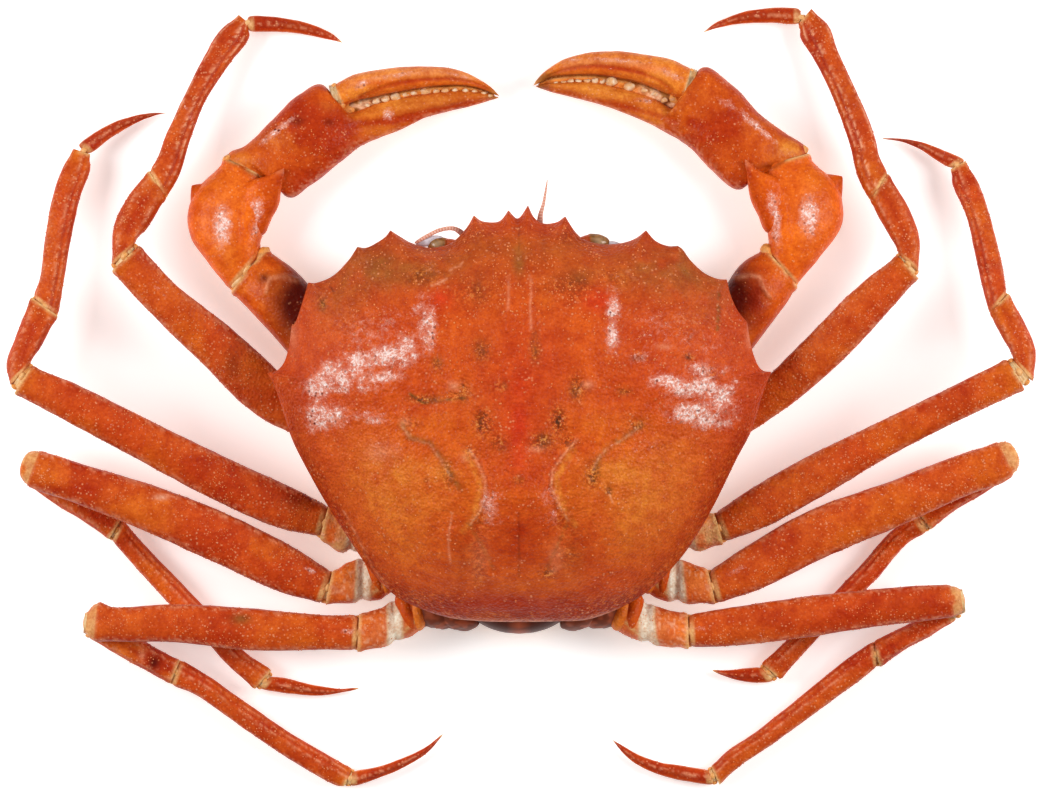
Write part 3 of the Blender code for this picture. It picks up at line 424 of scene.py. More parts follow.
def tube_faces(count, columns):
    """Faces of a closed tube: count rings of columns points, then its two end points."""
    ring = np.arange(count - 1)[:, None] * columns
    here = ring + np.arange(columns)
    there = ring + (np.arange(columns) + 1) % columns
    sides = np.stack([here, there, there + columns, here + columns], axis=-1).reshape(-1, 4)
    first, last = count * columns, count * columns + 1
    turn = np.arange(columns)
    after = (turn + 1) % columns
    base = (count - 1) * columns
    start = np.stack([np.full(columns, first), after, turn], axis=-1)
    end = np.stack([np.full(columns, last), base + turn, base + after], axis=-1)
    return sides.tolist() + start.tolist() + end.tolist()


def new_mesh(name, points, faces, paint):
    """A mesh in metres, facing outwards, whose paint is a number a point under each name."""
    mesh = bpy.data.meshes.new(name)
    mesh.from_pydata(np.clip(np.asarray(points) * MM, *CAD_BOX).tolist(), [], faces)
    mesh.update()
    mesh.shade_smooth()
    for key, values in paint.items():
        mesh.attributes.new(key, "FLOAT", "POINT").data.foreach_set(
            "value", np.clip(np.asarray(values, np.float32).ravel(), 0.0, 1.0)
        )
    return mesh


def volume_sign(points, faces):
    """Above zero where the faces of a closed mesh point outwards."""
    fans = [(face[0], face[k], face[k + 1]) for face in faces for k in range(1, len(face) - 1)]
    a, b, c = (np.asarray(points)[column] for column in np.array(fans).T)
    return float((a * np.cross(b, c)).sum())


def new_piece(name, points, faces, material, paint=None, nodes=()):
    """A piece of the crab that rides on its body and stands for these CAD nodes."""
    if volume_sign(points, faces) < 0.0:
        faces = [face[::-1] for face in faces]
    mesh = new_mesh(name, points, faces, paint or {})
    mesh.materials.append(material)
    piece = bpy.data.objects.new(name, mesh)
    bpy.context.scene.collection.objects.link(piece)
    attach(piece, "root")
    if nodes:
        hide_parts(*nodes)
    return piece


def joined(parts):
    """Points, faces and paint of several closed parts as one, all facing outwards."""
    points, faces, paint, base = [], [], {}, 0
    keys = sorted({key for part in parts for key in part[2]})
    for part_points, part_faces, part_paint in parts:
        if volume_sign(part_points, part_faces) < 0.0:
            part_faces = [face[::-1] for face in part_faces]
        points.append(np.asarray(part_points))
        faces += [[corner + base for corner in face] for face in part_faces]
        for key in keys:
            paint.setdefault(key, []).append(
                np.asarray(part_paint.get(key, np.zeros(len(part_points)))).ravel()
            )
        base += len(part_points)
    return np.vstack(points), faces, {key: np.concatenate(values) for key, values in paint.items()}


# Ends of a limb segment: distance from the end in millimetres and share of the section.
# A socket has a rim that turns in, a ball is round, a knee is a socket bent round and
# under, a tip comes to a blunt point
ENDS = {
    "socket": ((1.3, 0.0), (1.3, 0.4), (1.2, 0.8), (0.4, 0.88), (0.05, 0.92), (0.0, 0.96), (0.2, 1.0),
        (0.7, 1.03), (1.4, 1.035), (2.4, 1.0)),
    "ball": ((0.0, 0.0), (0.05, 0.3), (0.15, 0.55), (0.35, 0.74), (0.7, 0.86), (1.2, 0.93), (1.8, 0.97),
        (2.6, 1.0)),
    "knee": ((0.0, 0.0), (0.08, 0.25), (0.35, 0.48), (0.9, 0.7), (1.7, 0.85), (2.6, 0.93), (3.4, 0.965),
        (3.7, 0.955), (4.1, 1.0), (4.8, 1.03), (6.2, 1.0)),
    "tip": ((0.0, 0.0), (0.1, 0.35), (0.3, 0.6), (0.6, 0.8), (1.1, 0.95), (1.6, 1.0)),
    "flat": ((0.0, 0.0), (0.0, 0.5), (0.05, 0.85), (0.3, 0.96), (0.8, 1.0)),
}


def lengthened(rows, before, after):
    """Section rows in millimetres, carried on past either end by this much."""
    middles = line_middles(rows)
    grown = [rows]
    for end, inner, reach, place in ((0, 1, before, 0), (-1, -2, after, 2)):
        if reach > 0.0:
            way = middles[end] - middles[inner]
            way *= reach / np.linalg.norm(way)
            row = rows[end] + (way[0], way[1], way[0], way[1], way[2], 0.0)
            grown.insert(place, row[None])
    return np.vstack(grown)


def swept(rows, columns, rings, near, far, relief=None, paint=None, before=0.0, after=0.0):
    """A limb segment along its section rows. The rules for relief, in millimetres, and
    for paint get the share of the length, the distance to each end, the angle round the
    section (0 at the first edge, a quarter turn at the top) and the points."""
    rows = lengthened(sections(rows), before, after)
    length = length_of(rows)
    room = 0.48 * length
    near_d = np.array([min(room, d) for d, _ in ENDS[near]])
    far_d = np.array([min(room, d) for d, _ in ENDS[far]])
    steps = np.arange(1, rings + 1)
    share = 0.5 - 0.5 * np.cos(math.pi * steps / (rings + 1))
    between = near_d[-1] + (length - far_d[-1] - near_d[-1]) * (0.5 * share + 0.5 * steps / (rings + 1))
    distance = np.r_[near_d, between, length - far_d[::-1]]
    size = np.r_[[s for _, s in ENDS[near]], np.ones(rings), [s for _, s in ENDS[far]][::-1]]
    row, _ = along(rows, distance / length)
    middle = (row[:, 0:2] + row[:, 2:4]) / 2
    half = (row[:, 0:2] - row[:, 2:4]) / 2
    width = np.linalg.norm(half, axis=1)
    angle = math.tau * np.arange(columns) / columns
    c, s = fuller(np.cos(angle)), fuller(np.sin(angle))
    flat = middle[:, None] + half[:, None] * (size[:, None] * c)[..., None]
    high = row[:, 4, None] + row[:, 5, None] / 2 * size[:, None] * s
    points = np.concatenate([flat, high[..., None]], axis=-1)
    grid = {key: np.broadcast_to(value, high.shape) for key, value in (
        ("share", (distance / length)[:, None]), ("near", distance[:, None]),
        ("far", (length - distance)[:, None]), ("angle", angle[None]))}
    grid |= {"points": points, "length": length}
    if relief:
        lift = relief(grid) * np.clip(size[:, None] * 2.0 - 1.0, 0.0, 1.0)
        way = half / np.maximum(width, 1e-6)[:, None]
        side = way[:, None] * (np.cos(angle)[None, :, None]) * lift[..., None]
        points = points + np.concatenate([side, (np.sin(angle) * lift)[..., None]], axis=-1)
        grid["points"] = points
    values = {key: value[1:-1] for key, value in (paint(grid) if paint else {}).items()}
    ends = {key: [value[0].mean(), value[-1].mean()] for key, value in values.items()}
    values = {key: np.r_[value.ravel(), ends[key]] for key, value in values.items()}
    body = points[1:-1]
    first, last = points[0].mean(axis=0), points[-1].mean(axis=0)
    everything = np.vstack([body.reshape(-1, 3), first, last])
    return everything, tube_faces(len(body), columns), values


def even_paint(points, paint):
    """Each number of the paint on every point."""
    return {key: np.full(len(points), value) for key, value in (paint or {}).items()}


def ball(middle, reach, turn=0.0, columns=12, rings=8, paint=None):
    """An egg-shaped knob: its middle, its half sizes and a turn on the plan, in millimetres."""
    polar = math.pi * np.arange(1, rings) / rings
    angle = math.tau * np.arange(columns) / columns
    x = np.sin(polar)[:, None] * np.cos(angle) * reach[0]
    y = np.sin(polar)[:, None] * np.sin(angle) * reach[1]
    z = np.cos(polar)[:, None] * np.ones(columns) * reach[2]
    points = np.stack([x, y, z], axis=-1).reshape(-1, 3)
    points = np.vstack([points, (0.0, 0.0, reach[2]), (0.0, 0.0, -reach[2])])
    c, s = math.cos(turn), math.sin(turn)
    points[:, :2] = points[:, :2] @ np.array([[c, s], [-s, c]])
    return points + np.asarray(middle), tube_faces(rings - 1, columns), even_paint(points, paint)


def spike(base, tip, width, thick=None, columns=20, rings=14, paint=None):
    """A thorn from a base point to its tip, as wide and as thick as this at its foot."""
    base, tip = np.asarray(base, float), np.asarray(tip, float)
    run = tip - base
    side = np.cross(run, (0.0, 0.0, 1.0))
    side /= np.linalg.norm(side)
    up = np.cross(side, run)
    up /= np.linalg.norm(up)
    share = np.linspace(0.0, 0.98, rings)
    size = (1.0 - share) ** 0.85
    angle = math.tau * np.arange(columns) / columns
    ring = side * width * np.cos(angle)[:, None] + up * (thick or width) * np.sin(angle)[:, None]
    points = base + run * share[:, None, None] + ring[None] * size[:, None, None]
    points = np.vstack([points.reshape(-1, 3), base, tip])
    return points, tube_faces(rings, columns), even_paint(points, paint)


def granules(name, surfaces, density, sizes, seed):
    """Half-sunk granules strewn over the painted grain of these surfaces: this many to a
    square millimetre, between two radii in millimetres."""
    points, faces, paint = joined(surfaces)
    mesh = new_mesh(name + "_ground", points, faces, {"grain": paint["grain"]})
    ground = bpy.data.objects.new(name + "_ground", mesh)
    bpy.context.scene.collection.objects.link(ground)
    tree = bpy.data.node_groups.new(name, "GeometryNodeTree")
    tree.interface.new_socket("Surface", in_out="INPUT", socket_type="NodeSocketGeometry")
    sockets = {
        key: tree.interface.new_socket(key, in_out="INPUT", socket_type="NodeSocketFloat")
        for key in ("To a square metre", "Smallest", "Largest")
    }
    tree.interface.new_socket("Granules", in_out="OUTPUT", socket_type="NodeSocketGeometry")
    made = {}
    for key, kind in (
        ("start", "NodeGroupInput"), ("grain", "GeometryNodeInputNamedAttribute"),
        ("thin", "ShaderNodeMath"), ("strew", "GeometryNodeDistributePointsOnFaces"),
        ("size", "FunctionNodeRandomValue"),
        ("bead", "GeometryNodeMeshIcoSphere"), ("place", "GeometryNodeInstanceOnPoints"),
        ("real", "GeometryNodeRealizeInstances"), ("smooth", "GeometryNodeSetShadeSmooth"),
        ("finish", "GeometryNodeSetMaterial"), ("end", "NodeGroupOutput"),
    ):
        made[key] = tree.nodes.new(kind)
    made["thin"].operation = "MULTIPLY"
    made["grain"].data_type = "FLOAT"
    made["grain"].inputs["Name"].default_value = "grain"
    made["strew"].inputs["Seed"].default_value = seed
    made["size"].inputs["Seed"].default_value = seed
    made["bead"].inputs["Subdivisions"].default_value = 1
    made["bead"].inputs["Radius"].default_value = 1.0
    made["finish"].inputs["Material"].default_value = GRANULE
    for one, out, two, into in (
        ("start", "Surface", "strew", "Mesh"), ("grain", "Attribute", "thin", 0),
        ("start", "To a square metre", "thin", 1), ("thin", 0, "strew", "Density"),
        ("start", "Smallest", "size", 2), ("start", "Largest", "size", 3),
        ("strew", "Points", "place", "Points"), ("bead", "Mesh", "place", "Instance"),
        ("strew", "Rotation", "place", "Rotation"), ("size", 1, "place", "Scale"),
        ("place", "Instances", "real", "Geometry"), ("real", "Geometry", "smooth", "Geometry"),
        ("smooth", "Geometry", "finish", "Geometry"), ("finish", "Geometry", "end", "Granules"),
    ):
        tree.links.new(made[one].outputs[out], made[two].inputs[into])
    modifier = ground.modifiers.new("granules", "NODES")
    modifier.node_group = tree
    for key, value in zip(sockets, (density * 1e6, sizes[0] * MM, sizes[1] * MM)):
        modifier[sockets[key].identifier] = value
    bpy.context.view_layer.update()
    grains = bpy.data.meshes.new_from_object(ground.evaluated_get(bpy.context.evaluated_depsgraph_get()))
    bpy.data.objects.remove(ground, do_unlink=True)
    grains.name = name
    places = np.empty(len(grains.vertices) * 3)
    grains.vertices.foreach_get("co", places)
    grains.vertices.foreach_set("co", np.clip(places.reshape(-1, 3), *CAD_BOX).ravel())
    piece = bpy.data.objects.new(name, grains)
    bpy.context.scene.collection.objects.link(piece)
    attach(piece, "root")
    print(name, len(grains.polygons), "faces")


def linear(code):
    """The linear colour of an sRGB hex value."""
    parts = [int(code[i:i + 2], 16) / 255.0 for i in (1, 3, 5)]
    return tuple(p / 12.92 if p <= 0.04045 else ((p + 0.055) / 1.055) ** 2.4 for p in parts) + (1.0,)


def add(tree, kind, inputs=None, **settings):
    """A shader node with its settings, and its inputs as numbers, colours or links."""
    made = tree.nodes.new("ShaderNode" + kind)
    for key, value in settings.items():
        setattr(made, key, value)
    for key, value in (inputs or {}).items():
        if isinstance(value, bpy.types.NodeSocket):
            tree.links.new(value, made.inputs[key])
        else:
            made.inputs[key].default_value = value
    return made


def per_mm(size):
    """Texture scale that repeats once in this many millimetres, on coordinates in metres."""
    return 1000.0 / size


def noise(tree, place, size, detail, rough=0.5, distortion=0.0):
    """Noise whose lumps are about this many millimetres wide."""
    inputs = {"Vector": place, "Scale": per_mm(size), "Detail": detail, "Roughness": rough,
              "Distortion": distortion}
    return add(tree, "TexNoise", inputs).outputs["Fac"]


def cells(tree, place, size):
    """How far each point is from the middle of a cell this many millimetres wide."""
    return add(tree, "TexVoronoi", {"Vector": place, "Scale": per_mm(size)}).outputs["Distance"]


def marked(tree, key):
    """The paint of this name on the mesh."""
    return add(tree, "Attribute", attribute_name=key).outputs["Fac"]


def spread(tree, value, least, most, low=0.0, high=1.0):
    """A value between least and most as one between low and high."""
    return add(tree, "MapRange", {0: value, 1: least, 2: most, 3: low, 4: high}).outputs[0]


def times(tree, value, factor, clamp=False):
    """One value times another, and no more than 1 if it is clamped."""
    return add(tree, "Math", {0: value, 1: factor}, operation="MULTIPLY", use_clamp=clamp).outputs[0]


def times_plus(tree, value, factor, more):
    """One value times another, and a third added."""
    return add(tree, "Math", {0: value, 1: factor, 2: more}, operation="MULTIPLY_ADD").outputs[0]


def mixed(tree, share, first, second, blend="MIX"):
    """The first colour with this share of the second."""
    inputs = {0: share, 6: first, 7: second}
    return add(tree, "Mix", inputs, data_type="RGBA", blend_type=blend).outputs[2]


def painted(tree, colour, shades):
    """The colour mixed in turn with each painted shade: attribute, colour, strength."""
    for key, shade, strength in shades:
        colour = mixed(tree, times(tree, marked(tree, key), strength, True), colour, linear(shade))
    return colour


def new_material(name):
    """A material, its node tree and shader, and the crab's own coordinates in metres."""
    material = bpy.data.materials.new(name)
    material.use_nodes = True
    tree = material.node_tree
    return material, tree, tree.nodes["Principled BSDF"], add(tree, "TexCoord").outputs["Object"]


def surfaced(tree, shader, colour, height, depth, ior):
    """The shader gets its colour, its refraction and a bump this many millimetres deep."""
    tree.links.new(colour, shader.inputs["Base Color"])
    bump = add(tree, "Bump", {"Height": height, "Distance": depth * MM, "Strength": 1.0})
    tree.links.new(bump.outputs["Normal"], shader.inputs["Normal"])
    shader.inputs["IOR"].default_value = ior


def cooked_shell(name, colours, rough, grain, grain_height, speck, dotted):
    """Boiled crab shell, chitin with a thin waxy skin: an orange-red that drifts over a
    few centimetres, fine mottling, tiny pale granules, painted highlights on wet patches,
    leathery wrinkles in the gloss."""
    material, tree, shader, place = new_material(name)
    drift = spread(tree, noise(tree, place, 28, 1.0, 0.6), 0.36, 0.64)
    colour = painted(tree, mixed(tree, drift, linear(colours[0]), linear(colours[1])), SHELL_SHADES)
    for size, low, high in MOTTLES:
        mottle = spread(tree, noise(tree, place, size, 2.0, 0.65), 0.34, 0.66)
        tint = mixed(tree, mottle, (*low, 1.0), (*high, 1.0))
        colour = mixed(tree, 1.0, colour, tint, "MULTIPLY")
    # Scars and pitted skin: dark brown and golden specks about a millimetre wide
    flecks = noise(tree, place, 1.3, 2.0, 0.8)
    scar = marked(tree, "scar")
    for least, most, shade in ((0.47, 0.57, "#4A2810"), (0.45, 0.36, "#EBA050")):
        fleck = times(tree, spread(tree, flecks, least, most), scar, True)
        colour = mixed(tree, fleck, colour, linear(shade))
    # Pale granule dots, in patches, no finer than the picture can show: paler granule tips, painted lighter
    # also for the glints they catch
    dot = spread(tree, cells(tree, place, speck), 0.3, 0.14)
    patch = spread(tree, noise(tree, place, 6, 2.0, 0.7), *dotted)
    seen = times(tree, dot, patch, True)
    colour = mixed(tree, times(tree, seen, 0.6), colour, linear("#F2A070"))
    # Painted highlights on the wet patches: a broken pinkish film, white glints in it, and dark pits
    wet_and_highlight = marked(tree, "gloss")
    highlight_film = spread(tree, times_plus(tree, wet_and_highlight, 0.55, noise(tree, place, 2.0, 4.0, 0.85, 0.4)), 0.68, 1.08)
    colour = mixed(tree, times(tree, highlight_film, 0.88), colour, linear("#E8A08A"))
    painted_glint = times_plus(tree, highlight_film, 0.34, noise(tree, place, 0.95, 2.0, 0.8, 0.8))
    colour = mixed(tree, spread(tree, painted_glint, 0.69, 0.97), colour, linear("#FDEEE8"))
    hole = spread(tree, cells(tree, place, 1.5), 0.36, 0.18)
    hole = times(tree, hole, spread(tree, patch, 0.0, 1.0, 0.3, 1.0))
    pit = times(tree, hole, spread(tree, wet_and_highlight, 0.25, 0.7), True)
    colour = mixed(tree, pit, colour, linear("#6A2018"))
    # Granules and leathery wrinkles in the surface, and a gloss that the wrinkles break up
    creases = noise(tree, place, grain * 1.7, 2.0, 0.7, 0.6)
    height = add(tree, "Math", {0: cells(tree, place, grain), 1: creases}, operation="ADD").outputs[0]
    surfaced(tree, shader, colour, times_plus(tree, seen, 0.6, height), grain_height, 1.55)
    gloss = times_plus(tree, wet_and_highlight, -0.16, spread(tree, creases, 0.3, 0.7, rough - 0.07, rough + 0.1))
    tree.links.new(gloss, shader.inputs["Roughness"])
    shader.inputs["Specular IOR Level"].default_value = 0.11
    return material


# Tints of the mottling, coarse and fine: size in millimetres, where it is dark, where light
MOTTLES = (
    (4.2, (0.86, 0.72, 0.62), (1.08, 1.2, 1.26)), (0.8, (0.88, 0.76, 0.68), (1.06, 1.16, 1.22)),
)
# Shades that the paint of the shell stands for: name, colour, strength
SHELL_SHADES = (
    ("warm", "#DA6A14", 0.9), ("golden", "#F29638", 0.9), ("bright", "#EE6812", 0.9),
    ("deep", "#B02C06", 0.9), ("scarlet", "#DC2E10", 0.9), ("olive", "#8E5A24", 0.85),
    ("wine", "#560A02", 0.97), ("cream", "#E9B878", 1.0), ("skin", "#F2DFC6", 0.95),
    ("dark", "#3A1A10", 0.9), ("pale", "#F0A27A", 0.9),
)


def joint_skin():
    """Arthrodial membrane, soft chitin that boiling turns cream and yellow: it lights
    the joints up against the red shell."""
    material, tree, shader, place = new_material("cream_joint_membrane")
    share = spread(tree, noise(tree, place, 2.4, 4.0, 0.65), 0.35, 0.65)
    colour = mixed(tree, share, linear("#DE9C50"), linear("#EFD3A0"))
    colour = painted(tree, colour, (("warm", "#E8923A", 0.9), ("dark", "#7A4A28", 0.9)))
    surfaced(tree, shader, colour, noise(tree, place, 0.7, 2.0), 0.15, 1.45)
    shader.inputs["Roughness"].default_value = 0.42
    return material


def plain_chitin(name, first, second, size, rough, shades=(), bump_height=0.08, coat=0.0):
    """Chitin of two close tones that drift into each other over this many millimetres."""
    material, tree, shader, place = new_material(name)
    share = spread(tree, noise(tree, place, size, 4.0, 0.6), 0.35, 0.65)
    colour = painted(tree, mixed(tree, share, linear(first), linear(second)), shades)
    surfaced(tree, shader, colour, noise(tree, place, 0.8, 3.0), bump_height, 1.55)
    shader.inputs["Roughness"].default_value = rough
    shader.inputs["Specular IOR Level"].default_value = 0.2
    shader.inputs["Coat Weight"].default_value = coat
    shader.inputs["Coat Roughness"].default_value = 0.08
    return material


CARAPACE_SHELL = cooked_shell(
    "boiled_carapace_chitin", ("#CC4814", "#D35417"), 0.36, 0.9, 0.28, 1.5, (0.5, 0.66))
LIMB_SHELL = cooked_shell(
    "boiled_limb_chitin", ("#CC4A14", "#D45A1A"), 0.4, 0.85, 0.16, 1.25, (0.42, 0.6))
CLAW_SHELL = cooked_shell(
    "boiled_claw_chitin", ("#D05014", "#DA621A"), 0.34, 0.9, 0.12, 1.3, (0.46, 0.64))
BELLY_SHELL = plain_chitin(
    # Thin underside shell, which boils to a pale cream orange with redder sutures
    "pale_belly_chitin", "#E2A06A", "#EDC190", 9.0, 0.5,
    (("warm", "#D97434", 0.9), ("deep", "#A83A14", 0.9), ("dark", "#431604", 0.95), ("cream", "#F3E0BC", 0.9)))
JOINT_SKIN = joint_skin()
TOOTH = plain_chitin(
    # Worn finger teeth, bare calcified chitin: off-white with a brown foot
    "worn_tooth_chitin", "#DDB68E", "#EED8B8", 1.6, 0.3, (("dark", "#7E4A20", 0.9), ("warm", "#DE9A50", 0.9)))
EYE = plain_chitin(
    # Cornea of the eyestalk, clouded by boiling: dark olive under a clear wet film
    "boiled_cornea", "#6A3A10", "#9C6424", 1.1, 0.2,
    (("cream", "#CDB48C", 0.9), ("warm", "#C4521E", 1.0)), 0.05, 0.3)
FEELER = plain_chitin(
    # Thin feelers, soft chitin that dries to a dull pink
    "dull_pink_feeler", "#D98E74", "#C86A4C", 2.0, 0.45, (("pale", "#F0C8B4", 0.9), ("dark", "#6E1A10", 0.9)))
ORBIT_SKIN = plain_chitin(
    # Clear skin of the orbit, clouded grey by boiling
    "clouded_orbit_skin", "#B9AFB4", "#DAD6DE", 1.2, 0.2, (("dark", "#6A5A48", 0.9),), 0.03, 0.5)
GRANULE = plain_chitin(
    # Granule tips, paler than the red skin around them, and painted lighter still for the glints they catch
    "pale_granule_chitin_with_painted_glint", "#D56A34", "#E9955A", 3.0, 0.32)

# Curved rims behind the middle of the shell and grooves at its rear, left and right, which
# are both drawn and raised or sunk
INNER_RIMS = (
    ((470, 449), (477, 460), (485.6, 480), (485.6, 493.5), (480.6, 510), (471, 523)),
    ((577, 439), (563.5, 454), (552, 470), (551, 487), (560, 507), (568.5, 520)),
)
OUTER_RIMS = (
    ((403, 424), (411, 437), (431, 442), (444, 460), (454, 477), (461, 487)),
    ((640, 424), (623, 437), (607, 447), (597, 460), (592, 480)),
)
REAR_GROOVES = (((470, 524), (484, 548), (494, 569)), ((568, 520), (556, 548), (547, 566)))
# Painted areas of the shell by shade: plan point, plan reaches, strength
SHELL_AREAS = {
    "olive": ((519, 248, 130, 24, 0.4), (370, 275, 70, 30, 0.4), (670, 275, 70, 30, 0.4),
        (378, 272, 44, 20, 0.42), (672, 270, 44, 20, 0.45), (338, 298, 18, 18, 0.5), (712, 298, 18, 20, 0.45),
        (519, 262, 6, 20, 0.55), (441, 275, 16, 12, 0.45), (575, 278, 20, 9, 0.45), (457, 262, 14, 8, 0.4),
        (480, 290, 9, 16, 0.4), (430, 400, 13, 3.6, 0.85), (464, 395, 6, 8, 0.6), (535, 348, 4.4, 13, 0.7),
        (481, 350, 8, 10, 0.4), (438, 362, 5, 6, 0.6), (324, 306, 3, 6, 0.9), (575, 391, 6, 8, 0.55),
        (623, 392, 6, 3.4, 0.45), (504, 386, 4, 4, 0.45), (462, 560, 12, 22, 0.25), (575, 556, 12, 22, 0.25),
        (545, 440, 9, 8, 0.5), (608, 490, 3, 4, 0.6), (519, 479, 5, 5, 0.5)),
    # Among the deep areas, the one below the cardiac boss at 530 down and the two along the rear edge at 600
    # and 606 down are painted shade
    "deep": ((519, 250, 150, 30, 0.38), (519, 600, 100, 12, 0.35), (519, 340, 46, 60, 0.3),
        (519, 420, 30, 40, 0.4), (518, 530, 40, 20, 0.75), (519, 556, 22, 22, 0.45), (481, 290, 14, 20, 0.6),
        (575, 286, 26, 13, 0.5), (519, 606, 112, 9, 0.75), (400, 320, 30, 26, 0.2), (650, 315, 34, 26, 0.2),
        (466, 520, 9, 40, 0.35), (573, 520, 9, 40, 0.35), (415, 375, 24, 30, 0.25), (625, 380, 24, 30, 0.25)),
    "scarlet": ((442, 298, 13, 13, 0.9), (597, 300, 16, 12, 0.9), (519, 440, 9, 44, 0.55),
        (519, 400, 26, 50, 0.3), (519, 230, 60, 10, 0.3)),
    "bright": ((519, 310, 9, 40, 0.3), (452, 345, 14, 40, 0.35), (588, 345, 14, 40, 0.35),
        (425, 440, 40, 14, 0.3), (620, 440, 40, 14, 0.3)),
    "wine": ((300, 400, 14, 40, 0.15),),
    "golden": ((400, 500, 50, 40, 0.3), (640, 500, 50, 40, 0.32), (420, 470, 40, 12, 0.3),
        (620, 470, 40, 12, 0.3)),
    "warm": ((385, 485, 60, 55, 0.7), (652, 485, 60, 55, 0.75), (405, 550, 36, 30, 0.45),
        (635, 550, 36, 30, 0.5), (520, 242, 16, 18, 0.5), (470, 252, 20, 12, 0.5), (565, 255, 22, 12, 0.45),
        (543, 292, 12, 26, 0.5), (499, 296, 9, 24, 0.45), (430, 425, 40, 14, 0.4), (610, 425, 40, 14, 0.4),
        (519, 496, 24, 12, 0.3), (470, 490, 10, 28, 0.5), (570, 490, 12, 28, 0.5), (519, 585, 60, 10, 0.4)),
    "dark": ((480, 424, 4, 8, 0.5), (503, 447, 5, 6, 0.4), (558, 420, 4, 9, 0.5), (541, 440, 5, 6, 0.3),
        (462, 397, 3, 3, 0.6), (573, 392, 3, 5, 0.5), (426.5, 479.5, 2.2, 2, 0.55), (519, 476, 2, 2, 0.4),
        (547, 571, 3.4, 2.6, 0.6), (688, 357, 2, 2, 0.7), (636, 359, 6, 2.6, 0.6), (703, 370, 2.4, 2.4, 0.4)),
    "pale": ((454, 386.5, 5, 4.4, 0.7), (587, 385.5, 5, 4.4, 0.7), (466, 457, 4.6, 5, 0.55),
        (383, 452, 14, 9, 0.35), (537, 448.5, 7, 3, 0.55), (406, 421, 5, 4, 0.5), (662, 347, 7, 2.6, 0.5),
        (294, 336, 5, 16, 0.4), (749, 336, 4, 14, 0.4), (480, 556, 8, 16, 0.25), (556, 556, 8, 16, 0.25),
        (553, 570, 4, 3, 0.5)),
}
# Where the shell catches the light: wet patches with painted highlights, in the form of an area
SHELL_GLOSS_AND_HIGHLIGHTS = (
    (407, 350, 10, 13, 1.0), (388, 354, 16, 9, 1.0), (366, 361, 22, 8, 0.95), (353, 377, 20, 9, 0.95),
    (337, 370, 14, 8, 0.9), (319, 385, 11, 11, 1.0), (385, 376, 16, 5, 0.85), (352, 389, 28, 4, 0.75),
    (319, 417, 15, 10, 1.0), (344, 417, 24, 8, 0.95), (368, 419, 16, 5, 0.75), (321, 402, 8, 8, 0.55),
    (376, 332, 34, 20, 0.42), (428, 327, 8, 18, 1.0), (424, 314, 8, 14, 0.75), (431, 343, 5, 8, 0.8),
    (612, 322, 6, 20, 1.0), (610, 338, 4, 9, 0.85), (663, 381, 12, 6, 1.0), (680, 388, 16, 7, 1.0),
    (704, 386, 18, 8, 0.95), (724, 388, 10, 13, 0.95), (701, 369, 12, 7, 0.8), (640, 357, 9, 5, 0.7),
    (691, 413, 22, 8, 0.95), (711, 420, 19, 7, 0.95), (723, 404, 12, 12, 0.9), (727, 423, 8, 6, 0.7),
    (664, 335, 36, 18, 0.42), (491, 506, 8, 13, 0.72), (548, 506, 8, 12, 0.72), (394, 450, 17, 8, 0.5),
    (640, 449, 15, 8, 0.35), (700, 345, 20, 14, 0.35), (440, 268, 14, 5, 0.3),
)
# Scars, muscle prints and pitted skin, in the same form
SHELL_SCARS = (
    (483, 350, 9, 12, 0.45), (535, 347, 6, 14, 0.65), (438, 364, 6, 7, 0.6), (424, 399, 14, 4, 1.0),
    (459, 396, 16, 5, 0.75), (465, 391, 5, 10, 0.9), (577, 388, 7, 13, 0.75), (624, 391, 8, 4, 0.55),
    (500, 387, 8, 7, 0.5), (484, 423, 9, 14, 0.9), (497, 442, 11, 9, 0.55), (557, 420, 8, 14, 0.9),
    (541, 442, 14, 9, 0.65), (471, 452, 8, 9, 0.7), (567, 442, 9, 8, 0.6), (449, 476, 7, 16, 0.5),
    (592, 474, 7, 14, 0.75), (608, 490, 4, 6, 0.8), (427, 480, 3, 3, 1.0), (519, 480, 7, 5, 0.6),
    (548, 571, 8, 6, 0.95), (478, 560, 10, 22, 0.4), (567, 544, 10, 24, 0.35), (634, 426, 12, 8, 0.55),
    (656, 446, 10, 6, 0.4), (411, 422, 10, 6, 0.55), (323, 303, 6, 9, 0.75), (687, 357, 5, 4, 0.8),
    (710, 375, 10, 8, 0.5), (427, 276, 20, 9, 0.5), (471, 293, 24, 13, 0.45), (567, 289, 24, 13, 0.5),
    (612, 280, 20, 9, 0.4), (471, 228, 20, 12, 0.35), (567, 234, 22, 14, 0.35), (640, 357, 8, 5, 0.5),
    (590, 600, 40, 8, 0.3), (440, 596, 30, 8, 0.35), (481, 520, 8, 16, 0.35), (561, 520, 8, 16, 0.35),
    (350, 330, 26, 14, 0.2), (690, 322, 26, 14, 0.2),
)
